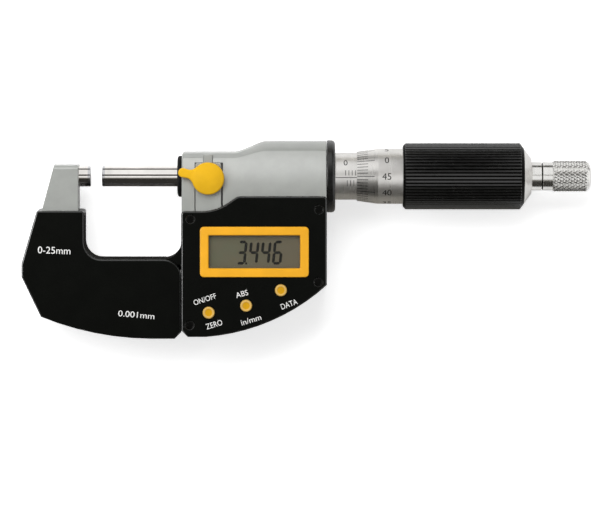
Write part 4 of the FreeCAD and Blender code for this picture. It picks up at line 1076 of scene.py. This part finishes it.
def unit_shell(name, finishes):
    """Moulded half of the display unit with its hollow and screw seats."""
    shell = slab(name, unit_outline(), GASKET_HALF, UNIT_Z, finishes["black_cover"],
                 top=UNIT_BEVEL, low=0.15)
    hollow_top = HEAD_LOW - SEAT_GAP - UNIT_WALL
    hollow = slab("hollow", inset(unit_outline(sharp=True), UNIT_WALL), -1,
                  UNIT_Z - UNIT_FACE_WALL)
    keep = block("keep", UNIT_LEFT, UNIT_RIGHT, UNIT_BOTTOM[1] - 1, hollow_top, -2, UNIT_Z)
    combine(hollow, [keep], "INTERSECT")
    tools = [hollow] + unit_openings(HEAD_Z + SEAT_GAP, WEB_Z + SEAT_GAP)
    neck = block("neck", UNIT_LEFT + UNIT_WALL, UNIT_RIGHT - UNIT_WALL, HEAD_LOW - 2 * UNIT_WALL,
                 HEAD_LOW, -1, WEB_Z + SEAT_GAP)
    tools.append(neck)
    seat = SCREW_TOP - SCREW_HEAD_T
    for x, y in SCREWS:
        tools.append(turned_up("seat", (x, y), [
            (0, 0), (0, 0.9), (seat, 0.9), (seat, SCREW_HEAD_R + 0.1),
            (UNIT_Z - 0.12, SCREW_HEAD_R + 0.1), (UNIT_Z + 0.5, SCREW_HEAD_R + 0.7),
            (UNIT_Z + 0.5, 0)], segments=40))
    return combine(shell, tools, "DIFFERENCE")


def make_panel(finishes):
    panel = unit_shell("front_panel_looks", finishes)
    width, height = BEZEL_SIZE
    tools = [slab("opening", centred(BEZEL, width - 1.8, height - 1.8, 1.2), 0, UNIT_Z + 1)]
    for x, y in BUTTONS.values():
        tools.append(turned_up("hole", (x, y), [
            (0, 0), (0, BUTTON_R + 0.1), (UNIT_Z - 0.1, BUTTON_R + 0.1),
            (UNIT_Z + 0.5, BUTTON_R + 0.6), (UNIT_Z + 0.5, 0)], segments=56))
    combine(panel, tools, "DIFFERENCE")
    settle(panel, "frame", "black_cover", "front_panel")


def make_back(finishes):
    """Back shell with the coin-slot battery cap and the screwed port cover."""
    shell = unit_shell("back_shell_looks", finishes)
    ledge = UNIT_Z - 0.7
    well = turned_up("well", BATTERY, [
        (0, 0), (0, BATTERY_R), (ledge, BATTERY_R), (ledge, BATTERY_SEAT_R),
        (UNIT_Z - 0.1, BATTERY_SEAT_R), (UNIT_Z + 0.5, BATTERY_SEAT_R + 0.6), (UNIT_Z + 0.5, 0)])
    seat = slab("port", centred(PORT, *PORT_SEAT, 1.0), UNIT_Z - 1.0, UNIT_Z + 1)
    hole = slab("socket", centred(PORT, *PORT_HOLE, 0.6), 0, UNIT_Z)
    combine(shell, [well, seat, hole], "DIFFERENCE")
    back = mirrored("back_shell", shell)
    bpy.data.objects.remove(shell)
    back.name = "back_shell_looks"
    settle(back, "frame", "black_cover", "back_shell")

    rim = FLOOR_Z + 0.65
    inner = FLOOR_Z + 1.5
    cap = turned_up("battery_cap_looks", BATTERY, [
        (FLOOR_Z, 0), (FLOOR_Z, BATTERY_CAP_R, 0.2), (rim, BATTERY_CAP_R),
        (rim, BATTERY_NECK_R), (inner, BATTERY_NECK_R), (inner, 0)],
        finishes["black_cover"], segments=96)
    slot = slab("slot", centred(BATTERY, 10.5, 1.6, 0.7), FLOOR_Z - 1, FLOOR_Z + 0.8)
    combine(cap, [slot], "DIFFERENCE")
    settle(cap, "battery_door", "black_cover", "battery_cap")

    cover = slab("port_cover_looks", centred(PORT, *PORT_COVER, 1.0), FLOOR_Z, FLOOR_Z + 1.0,
                 finishes["black_cover"], low=0.2)
    rows = [PORT[1] - PORT_SCREW_Y, PORT[1] + PORT_SCREW_Y]
    tools = [turned_up("hole", (PORT[0], y), [
        (FLOOR_Z - 0.5, 0), (FLOOR_Z - 0.5, 0.9), (FLOOR_Z + 0.5, 0.9), (FLOOR_Z + 0.5, 0.4),
        (FLOOR_Z + 1.5, 0.4), (FLOOR_Z + 1.5, 0)], segments=40) for y in rows]
    combine(cover, tools, "DIFFERENCE")
    settle(cover, "frame", "black_cover", "port_cover")
    screws = [cross_screw(PORT[0], y, *PORT_SCREW, UNIT_Z - 0.05, finishes) for y in rows]
    front = joined("screws", screws)
    back = mirrored("port_screws_looks", front)
    bpy.data.objects.remove(front)
    settle(back, "frame", "black_metal", "port_screws")


def cross_screw(x, y, head_r, head_t, shank_r, length, top, finishes):
    """Flat-headed screw with a cross recess."""
    screw = turned_up("screw", (x, y), [
        (top - head_t - length, 0), (top - head_t - length, shank_r), (top - head_t, shank_r),
        (top - head_t, head_r), (top, head_r, 0.22), (top, 0)], finishes["screw"],
        segments=40)
    reach = head_r * 0.62
    half = head_r * 0.16
    one = block("one", x - reach, x + reach, y - half, y + half, top - head_t * 0.6, top + 1)
    two = block("two", x - half, x + half, y - reach, y + reach, top - head_t * 0.6, top + 1)
    return combine(screw, [one, two], "DIFFERENCE")


def make_unit_screws(finishes):
    screws = [cross_screw(x, y, SCREW_HEAD_R, SCREW_HEAD_T, SCREW_SHANK_R, SCREW_LENGTH,
                          SCREW_TOP, finishes) for x, y in SCREWS]
    front = joined("panel_screws_looks", screws)
    back = mirrored("back_screws_looks", front)
    settle(front, "frame", "black_metal", "panel_screws")
    settle(back, "frame", "black_metal", "back_screws")


def make_gasket(finishes):
    """Rubber line between the two halves of the unit."""
    band = slab("unit_gasket_looks", inset(unit_outline(), 0.12), -GASKET_HALF, GASKET_HALF,
                finishes["black_rubber"])
    inside = slab("inside", inset(unit_outline(sharp=True), UNIT_WALL), -1, 1)
    combine(band, [inside] + unit_openings(1, 1), "DIFFERENCE")
    settle(band, "frame", "black_rubber", "unit_gasket")


def make_bezel(finishes):
    """Yellow display frame with a rounded outer rim and a lip round the window."""
    z = UNIT_Z
    section = [(0.0, z), (0.0, z + 0.42), (0.08, z + 0.60), (0.24, z + 0.70), (2.20, z + 0.70),
               (2.42, z + 0.66), (2.58, z + 0.50), (2.70, z + 0.20), (2.70, WINDOW_TOP),
               (2.00, WINDOW_TOP), (2.00, 11.0), (1.00, 11.0), (1.00, z)]
    width, height = BEZEL_SIZE
    steps = 6
    rings = []
    for depth, level in section:
        w = width / 2 - depth
        h = height / 2 - depth
        r = max(1.2 - depth * 0.5, 0.35)
        path = []
        for sx, sy, turn in ((1, 1, 0), (-1, 1, 90), (-1, -1, 180), (1, -1, 270)):
            for k in range(steps + 1):
                t = math.radians(turn + 90 * k / steps)
                path.append((BEZEL[0] + sx * (w - r) + r * math.cos(t),
                             BEZEL[1] + sy * (h - r) + r * math.sin(t), level))
        rings.append(path)
    bezel = build("display_bezel_looks", *skin(rings, loop=True), finishes["bezel"])
    settle(bezel, "frame", "yellow_plastic", "display_bezel")


def make_window(finishes):
    width, height = [side + WINDOW_RIM for side in WINDOW]
    plate = slab("display_window_looks", centred(BEZEL, width, height, 0.4),
                 WINDOW_TOP - WINDOW_T, WINDOW_TOP, finishes["clear_window"])
    settle(plate, "frame", "clear_window", "display_window")
    cell = slab("lcd_cell_looks", centred(BEZEL, width, height, 0.3),
                WINDOW_TOP - LCD_BACK, WINDOW_TOP - LCD_DROP, finishes["lcd_grey"])
    settle(cell, "frame", "lcd_grey", "lcd_cell")


def make_buttons(finishes):
    top = UNIT_Z + 1.0
    under = UNIT_Z - UNIT_FACE_WALL - 0.02
    for name, place in BUTTONS.items():
        key = turned_up("button_" + name + "_looks", place, [
            (under - 0.35, 0), (under - 0.35, BUTTON_R + 0.5), (under, BUTTON_R + 0.5),
            (under, BUTTON_R), (top, BUTTON_R, 0.35), (top, 1.25, 0.1), (top - 0.15, 1.08, 0.05),
            (top - 0.15, 0)], finishes["key"], segments=72)
        key.data.materials.append(finishes["orange"])
        for face in key.data.polygons:
            middle = face.center / MM
            away = math.hypot(middle.x - place[0], middle.y - place[1])
            if away < 1.1 and middle.z > UNIT_Z:
                face.material_index = 1
        settle(key, name + "_key", "yellow_plastic", "button_" + name)


# Lock lever

def make_lever(finishes):
    """Yellow lever moulded in one piece: domed hub and a short pointer."""
    hub = turned_up("lock_lever_looks", (LOCK_X, 0), [
        (HUB_Z0, 0), (HUB_Z0, HUB_R, 0.2), (HUB_EDGE_Z + 0.15, HUB_R, 0.7),
        (HUB_TOP_Z - 0.25, HUB_R * 0.55, 8.0), (HUB_TOP_Z, 0)], finishes["yellow_plastic"],
        segments=96)
    tip = POINTER_REACH - POINTER_R
    waist = POINTER_R - 0.1
    root_x, root_y = HUB_R - 0.6, POINTER_ROOT + 0.4
    neck_x, neck_y = HUB_R + 0.25, waist + 0.32
    slim_x = HUB_R + 1.4
    flat = outline([(0, -root_y), (root_x, -root_y), ("via", neck_x, -neck_y),
                    (slim_x, -waist), (tip, -POINTER_R), ("via", POINTER_REACH, 0),
                    (tip, POINTER_R), (slim_x, waist), ("via", neck_x, neck_y),
                    (root_x, root_y), (0, root_y)])
    cos = math.cos(POINTER_ANGLE)
    sin = math.sin(POINTER_ANGLE)
    turned = [(LOCK_X + x * cos - y * sin, x * sin + y * cos) for x, y in flat]
    pointer = slab("pointer", turned, HUB_Z0, HUB_EDGE_Z, top=0.5, low=0.2)
    combine(hub, [pointer], "UNION")
    melt(hub, 0.13, 8)
    settle(hub, "lock", "yellow_plastic", "lock_lever")


# Scales and lettering

def glyphs(text, height, thickness=0.02, width=1.0):
    """Raised lettering centred on the origin, as points and faces in mm."""
    curve = bpy.data.curves.new("glyphs", "FONT")
    curve.body = text
    curve.align_x = "CENTER"
    curve.resolution_u = 6
    writer = bpy.data.objects.new("glyphs", curve)
    bpy.context.scene.collection.objects.link(writer)
    state = bpy.context.evaluated_depsgraph_get()
    mesh = bpy.data.meshes.new_from_object(writer.evaluated_get(state))
    bpy.data.objects.remove(writer)
    bpy.data.curves.remove(curve)
    scale = height / CAP_HEIGHT
    work = bmesh.new()
    work.from_mesh(mesh)
    bpy.data.meshes.remove(mesh)
    for vertex in work.verts:
        vertex.co = Vector((vertex.co.x * scale * width, vertex.co.y * scale - height / 2, 0))
    cuts = max(1, int(height / 0.25))
    for k in range(1, cuts):
        level = -height / 2 + height * k / cuts
        bmesh.ops.bisect_plane(work, geom=work.verts[:] + work.edges[:] + work.faces[:],
                               plane_co=(0, level, 0), plane_no=(0, 1, 0))
    bmesh.ops.triangulate(work, faces=work.faces)
    grown = bmesh.ops.extrude_face_region(work, geom=work.faces[:])
    for item in grown["geom"]:
        if isinstance(item, bmesh.types.BMVert):
            item.co.z = thickness
    work.verts.index_update()
    points = [tuple(v.co) for v in work.verts]
    faces = [tuple(v.index for v in f.verts) for f in work.faces]
    work.free()
    return points, faces


def bar(u0, u1, v0, v1, steps=1):
    """Flat bar on the drawing plane, divided along v."""
    points = []
    faces = []
    for k in range(steps + 1):
        v = v0 + (v1 - v0) * k / steps
        points += [(u0, v, 0), (u1, v, 0), (u1, v, INK_HEIGHT), (u0, v, INK_HEIGHT)]
    for k in range(steps):
        a = 4 * k
        for i in range(4):
            j = (i + 1) % 4
            faces.append((a + i, a + j, a + 4 + j, a + 4 + i))
    faces += [(0, 1, 2, 3), tuple(range(4 * steps + 3, 4 * steps - 1, -1))]
    return points, faces


def wrapped(shape, x, radius, angle=0.0, taper=None):
    """Bends a flat shape round the spindle axis. Angle 0 faces up and grows towards +Y."""
    points, faces = shape
    bent = []
    for u, v, w in points:
        base = taper(x + u) if taper else radius
        turn = angle + v / radius
        bent.append((x + u, (base + w) * math.sin(turn), (base + w) * math.cos(turn)))
    return bent, faces


def laid(shape, x, y, z, degrees=0.0):
    """Lays a flat shape at a place, turned about Z."""
    points, faces = shape
    cos = math.cos(math.radians(degrees))
    sin = math.sin(math.radians(degrees))
    return [(x + u * cos - v * sin, y + u * sin + v * cos, z + w) for u, v, w in points], faces


def print_piece(name, shapes, finish, body, slot):
    """One thin piece from many printed or engraved shapes."""
    points = []
    faces = []
    for some, polygons in shapes:
        base = len(points)
        points += some
        faces += [tuple(base + i for i in polygon) for polygon in polygons]
    piece = build(name, points, faces, finish)
    settle(piece, body, slot)


def make_sleeve_scale(finishes):
    """Datum line, whole and half millimetre marks and their numbers."""
    line = 0.17
    radius = SLEEVE_R - INK_SINK
    end = ZERO_X + RANGE + 1
    left = span("end_flange")[1].x + 0.1
    shapes = [wrapped(bar(left - ZERO_X, end - ZERO_X, -0.1, 0.1), ZERO_X, radius)]
    for k in range(RANGE + 1):
        shapes.append(wrapped(bar(-line / 2, line / 2, 0.65, 2.25, steps=6), ZERO_X + k, radius))
        if k < RANGE:
            shapes.append(wrapped(bar(-line / 2, line / 2, -2.75, -0.86, steps=6),
                                  ZERO_X + k + 0.5, radius))
        if k % 5 == 0:
            angle = 4.85 / SLEEVE_R
            shapes.append(wrapped(glyphs(str(k), 1.9, INK_HEIGHT), ZERO_X + k, radius, angle))
    print_piece("sleeve_scale", shapes, finishes["black_ink"], "frame", "satin_chrome")


def thimble_surface(x):
    rise = (THIMBLE_R - THIMBLE_EDGE_R) / THIMBLE_BEVEL
    return min(THIMBLE_R, THIMBLE_EDGE_R + (x - THIMBLE_EDGE) * rise) - INK_SINK


def make_thimble_scale(finishes):
    """Divisions on the bevel, and a number at every fifth."""
    at_datum = 44.6
    radius = THIMBLE_EDGE_R
    shapes = []
    for n in range(DIVISIONS):
        angle = math.radians((n - at_datum) * 360 / DIVISIONS)
        long = n % 5 == 0
        reach = 5.45 if long else 3.4
        shapes.append(wrapped(bar(0.12, reach, -0.085, 0.085), THIMBLE_EDGE, radius, angle,
                              thimble_surface))
        if long:
            shapes.append(wrapped(glyphs(str(n), 2.05, INK_HEIGHT), THIMBLE_EDGE + 9.2,
                                  THIMBLE_R - INK_SINK, angle))
    print_piece("thimble_scale", shapes, finishes["black_ink"], "spindle", "satin_chrome")


def make_labels(finishes):
    labels = [("ON/OFF", 1.6, 0.86, 35.15, -36.9, 18.5), ("ZERO", 1.7, 0.82, 38.0, -44.6, 17),
              ("ABS", 1.65, 0.95, 46.5, -35.2, 15), ("in/mm", 1.7, 1.05, 49.25, -43.2, 17),
              ("DATA", 1.7, 0.8, 60.8, -38.4, 20)]
    shapes = [laid(glyphs(text, height, width=width), x, y, UNIT_Z - LABEL_SINK, turn)
              for text, height, width, x, y, turn in labels]
    print_piece("panel_labels", shapes, finishes["white_ink"], "frame", "black_cover")
    z = COVER_Z - LABEL_SINK
    shapes = [laid(glyphs("0.001mm", 1.8, width=1.16), 14.1, -42.1, z, -5),
              laid(glyphs("0-25mm", 2.1), -11.0, -22.3, z, -2)]
    print_piece("cover_labels", shapes, finishes["white_ink"], "frame", "black_cover")


def segment(x0, y0, x1, y1, half):
    """One bar of a digit with pointed ends."""
    length = math.hypot(x1 - x0, y1 - y0)
    ux = (x1 - x0) / length
    uy = (y1 - y0) / length
    plan = [(0.0, 0.0), (half, -half), (length - half, -half), (length, 0.0),
            (length - half, half), (half, half)]
    points = []
    for w in (0.0, INK_HEIGHT):
        points += [(x0 + a * ux - b * uy, y0 + a * uy + b * ux, w) for a, b in plan]
    faces = [tuple(range(5, -1, -1)), tuple(range(6, 12))]
    faces += [(i, (i + 1) % 6, (i + 1) % 6 + 6, i + 6) for i in range(6)]
    return points, faces


def make_reading(finishes):
    """Seven-segment reading of the opening, 3.446 mm."""
    lit = {"3": "abgcd", "4": "fgbc", "6": "afgedc"}
    width = 2.12
    tall = 6.5
    half = 0.42
    gap = 0.04
    slant = math.tan(math.radians(6))
    pitch = 3.65
    left = 45.05
    low = -25.95
    ends = {"a": (0, 2, 1, 2), "b": (1, 1, 1, 2), "c": (1, 0, 1, 1), "d": (0, 0, 1, 0),
            "e": (0, 0, 0, 1), "f": (0, 1, 0, 2), "g": (0, 1, 1, 1)}
    shapes = []
    for k, digit in enumerate("3446"):
        for name in lit[digit]:
            a, b, c, d = ends[name]
            across = gap if name in "adg" else 0.0
            up = 0.0 if name in "adg" else gap
            points, faces = segment(a * width + across, b * tall / 2 + up,
                                    c * width - across, d * tall / 2 - up, half)
            placed = [(left + k * pitch + u + v * slant, low + v, w) for u, v, w in points]
            shapes.append((placed, faces))
    dot = bar(-0.3, 0.3, -0.3, 0.3)
    shapes.append(laid(dot, left + width + 0.62, low - 0.05, 0.0))
    level = WINDOW_TOP - LCD_DROP
    shapes = [([(x, y, z + level) for x, y, z in points], faces) for points, faces in shapes]
    print_piece("lcd_reading", shapes, finishes["segment_ink"], "frame", "lcd_grey")


# Light, floor and camera, with lamps and their targets in metres. The room is white to the
# camera and in reflections, and dim as a light.
ROOM_LIGHT = 0.38
FLOOR_GLOW = 0.58
FLOOR_REFLECTED = 0.15
SOFTBOX = (-0.02, 0.42, 0.55)
SOFTBOX_SIZE = 0.42
MIDDLE = (0.06, 0, 0)
CAMERA_PLACE = Vector((64.2, 74.0, 1300.0))
CAMERA_TARGET = Vector((64.2, -23.8, 0.0))
FOCAL_LENGTH = 254.2
PAINTED = ("frame_looks", "lock_block_looks")
EDGED = ("front_cover_looks", "front_panel_looks", "panel_screws_looks", "end_flange_looks",
         "seal_cap_looks", "display_bezel_looks")


def make_studio():
    scene = bpy.context.scene
    scene.view_settings.view_transform = "Standard"
    world = bpy.data.worlds.new("studio")
    world.use_nodes = True
    scene.world = world
    tree = world.node_tree
    back = tree.nodes["Background"]
    seen = shown_rays(tree, 1.0)
    level = tree.nodes.new("ShaderNodeMapRange")
    level.inputs["To Min"].default_value = ROOM_LIGHT
    level.inputs["To Max"].default_value = 1.0
    tree.links.new(seen, level.inputs["Value"])
    tree.links.new(level.outputs["Result"], back.inputs["Strength"])
    back.inputs["Color"].default_value = (1, 1, 1, 1)
    area_light("softbox", SOFTBOX, MIDDLE, SOFTBOX_SIZE, 2.9)
    area_light("fill", (-0.12, 0.06, 0.24), (-0.03, 0, 0), 0.15, 0.36)
    area_light("paint_gloss", SOFTBOX, MIDDLE, SOFTBOX_SIZE, 3.0, PAINTED)
    area_light("edge_gloss", (-0.50, 0.12, 0.45), (0.05, -0.02, 0), 0.4, 5.0, EDGED)


def shown_rays(tree, glossy):
    """Output that is 1 for camera and transmission rays and lower for glossy rays."""
    path = tree.nodes.new("ShaderNodeLightPath")
    part = tree.nodes.new("ShaderNodeMath")
    part.operation = "MULTIPLY"
    part.inputs[1].default_value = glossy
    tree.links.new(path.outputs["Is Glossy Ray"], part.inputs[0])
    shown = part.outputs["Value"]
    for name in ("Is Camera Ray", "Is Transmission Ray"):
        most = tree.nodes.new("ShaderNodeMath")
        most.operation = "MAXIMUM"
        tree.links.new(shown, most.inputs[0])
        tree.links.new(path.outputs[name], most.inputs[1])
        shown = most.outputs["Value"]
    return shown


def area_light(name, place, target, size, power, glossed=()):
    """Square lamp. With a list of pieces it only adds its reflection to these."""
    lamp = bpy.data.lights.new(name, "AREA")
    lamp.shape = "SQUARE"
    lamp.size = size
    lamp.energy = power
    stand = bpy.data.objects.new(name, lamp)
    stand.location = place
    stand.rotation_euler = (Vector(target) - Vector(place)).to_track_quat("-Z", "Y").to_euler()
    bpy.context.scene.collection.objects.link(stand)
    if glossed:
        group = bpy.data.collections.new(name)
        for piece in glossed:
            group.objects.link(bpy.data.objects[piece])
        stand.light_linking.receiver_collection = group
        stand.visible_diffuse = False
    else:
        stand.visible_glossy = False


def make_floor():
    """Pale floor that keeps the shadow, and looks white where nothing shades it."""
    reach = 1500.0
    z = FLOOR_Z - 0.01
    middle = 65.0
    floor = build("floor", [(middle - reach, -reach, z), (middle + reach, -reach, z),
                            (middle + reach, reach, z), (middle - reach, reach, z)],
                  [(0, 1, 2, 3)])
    f = Finish("pale_floor")
    f.colours(f.grain(6, detail=2), tones(srgb(243, 243, 243), 0.004))
    f.set(Roughness=0.9, Specular_IOR_Level=0.0)
    glow = f.node("Emission")
    level = f.ranged(shown_rays(f.tree, FLOOR_REFLECTED), (0.0, 1.0), (0.0, FLOOR_GLOW))
    f.link(level, glow.inputs["Strength"])
    both = f.node("AddShader")
    f.link(f.shader.outputs["BSDF"], both.inputs[0])
    f.link(glow.outputs["Emission"], both.inputs[1])
    f.link(both.outputs["Shader"], f.tree.nodes["Material Output"].inputs["Surface"])
    floor.data.materials.append(f.material)


def make_flags():
    """Dark cards round the object, which only reflections show."""
    # Spans along X, then heights over the frame
    left = (-500.0, 60.0)
    middle = (60.0, 108.0)
    right = (161.0, 640.0)
    high = 520.0
    waist = 380.0
    low = [(-560.0, 120.0), (-600.0, -11.0)]
    far = [(62.0, -11.6), (300.0, -11.6), (300.0, 45.0)]
    near = [(-12.0, -11.6), (-600.0, -11.6)]
    cards = [
        ("flag_low_a", left, [(-231.0, high), (-420.0, waist)] + low, 0.030),
        ("flag_fade_a", left, [(-105.0, high), (-231.0, high)], 0.18),
        ("flag_low_b", middle, [(-460.0, high), (-560.0, waist), (-600.0, 120.0), low[1]], 0.16),
        ("flag_fade_b", middle, [(-330.0, high), (-460.0, high)], 0.38),
        ("flag_low_c", (108.0, 161.0), [(-290.0, high), (-420.0, waist)] + low, 0.025),
        ("flag_low_d", right, [(-400.0, high), (-500.0, waist)] + low, 0.055),
        ("flag_fade_d", right, [(-230.0, high), (-400.0, high)], 0.25),
        ("flag_top_a", left, [(60.0, high), (235.0, high)], 0.09),
        ("flag_top_b", middle, [(60.0, high), (180.0, high)], 0.45),
        ("flag_top_d", right, [(60.0, high), (150.0, high)], 0.22),
        ("flag_far_a", (-500.0, 74.0), far, 0.09),
        ("flag_far_b", (74.0, 98.0), far, 0.65),
        ("flag_far_c", (98.0, 640.0), far, 0.09),
        ("flag_grip", (98.0, 137.0), [(36.0, 110.0), (100.0, 80.0), (140.0, 20.0)], 0.03),
        ("flag_spindle", (-500.0, 26.0), near, 0.030),
        ("flag_sleeve", (26.0, 133.0), near, 0.26)]
    for name, (x0, x1), path, level in cards:
        glow = (level, level * 0.96, level * 0.87)
        vertices = [(x, y, z) for y, z in path for x in (x0, x1)]
        faces = [(2 * k, 2 * k + 1, 2 * k + 3, 2 * k + 2) for k in range(len(path) - 1)]
        f = Finish(name)
        f.colours(f.grain(8), tones(srgb(6, 6, 6), 0.2))
        f.set(Specular_IOR_Level=0.0, Emission_Color=glow + (1.0,), Emission_Strength=1.0)
        card = build(name, vertices, faces, f.material)
        card.visible_camera = False
        card.visible_diffuse = False
        card.visible_shadow = False
        card.visible_transmission = False


def make_camera():
    """Long lens over the object, tilted a little towards +Y as in the photograph."""
    lens = bpy.data.cameras.new("camera")
    lens.lens = FOCAL_LENGTH
    lens.sensor_width = 36.0
    lens.clip_start = 0.01
    lens.clip_end = 20.0
    view = bpy.data.objects.new("camera", lens)
    view.location = CAMERA_PLACE * MM
    view.rotation_euler = (math.atan2(CAMERA_TARGET.y - CAMERA_PLACE.y, CAMERA_PLACE.z), 0, 0)
    bpy.context.scene.collection.objects.link(view)
    bpy.context.scene.camera = view


def dress_nodes(finishes):
    """Every CAD node gets the finish of its slot."""
    for part in frame["record"]["subparts"]:
        mesh = frame["nodes"][part["node"]].data
        mesh.materials.clear()
        mesh.materials.append(finishes[part["material_slot"]])


def main():
    finishes = make_finishes()
    dress_nodes(finishes)
    for make in (make_frame, make_lock_block, make_covers, make_measuring_faces, make_seal_cap,
                 make_sleeve, make_thimble, make_grip, make_stop, make_panel, make_back,
                 make_unit_screws, make_gasket, make_bezel, make_window, make_buttons,
                 make_lever, make_sleeve_scale, make_thimble_scale, make_labels, make_reading):
        make(finishes)
    make_floor()
    make_flags()
    make_studio()
    make_camera()


main()
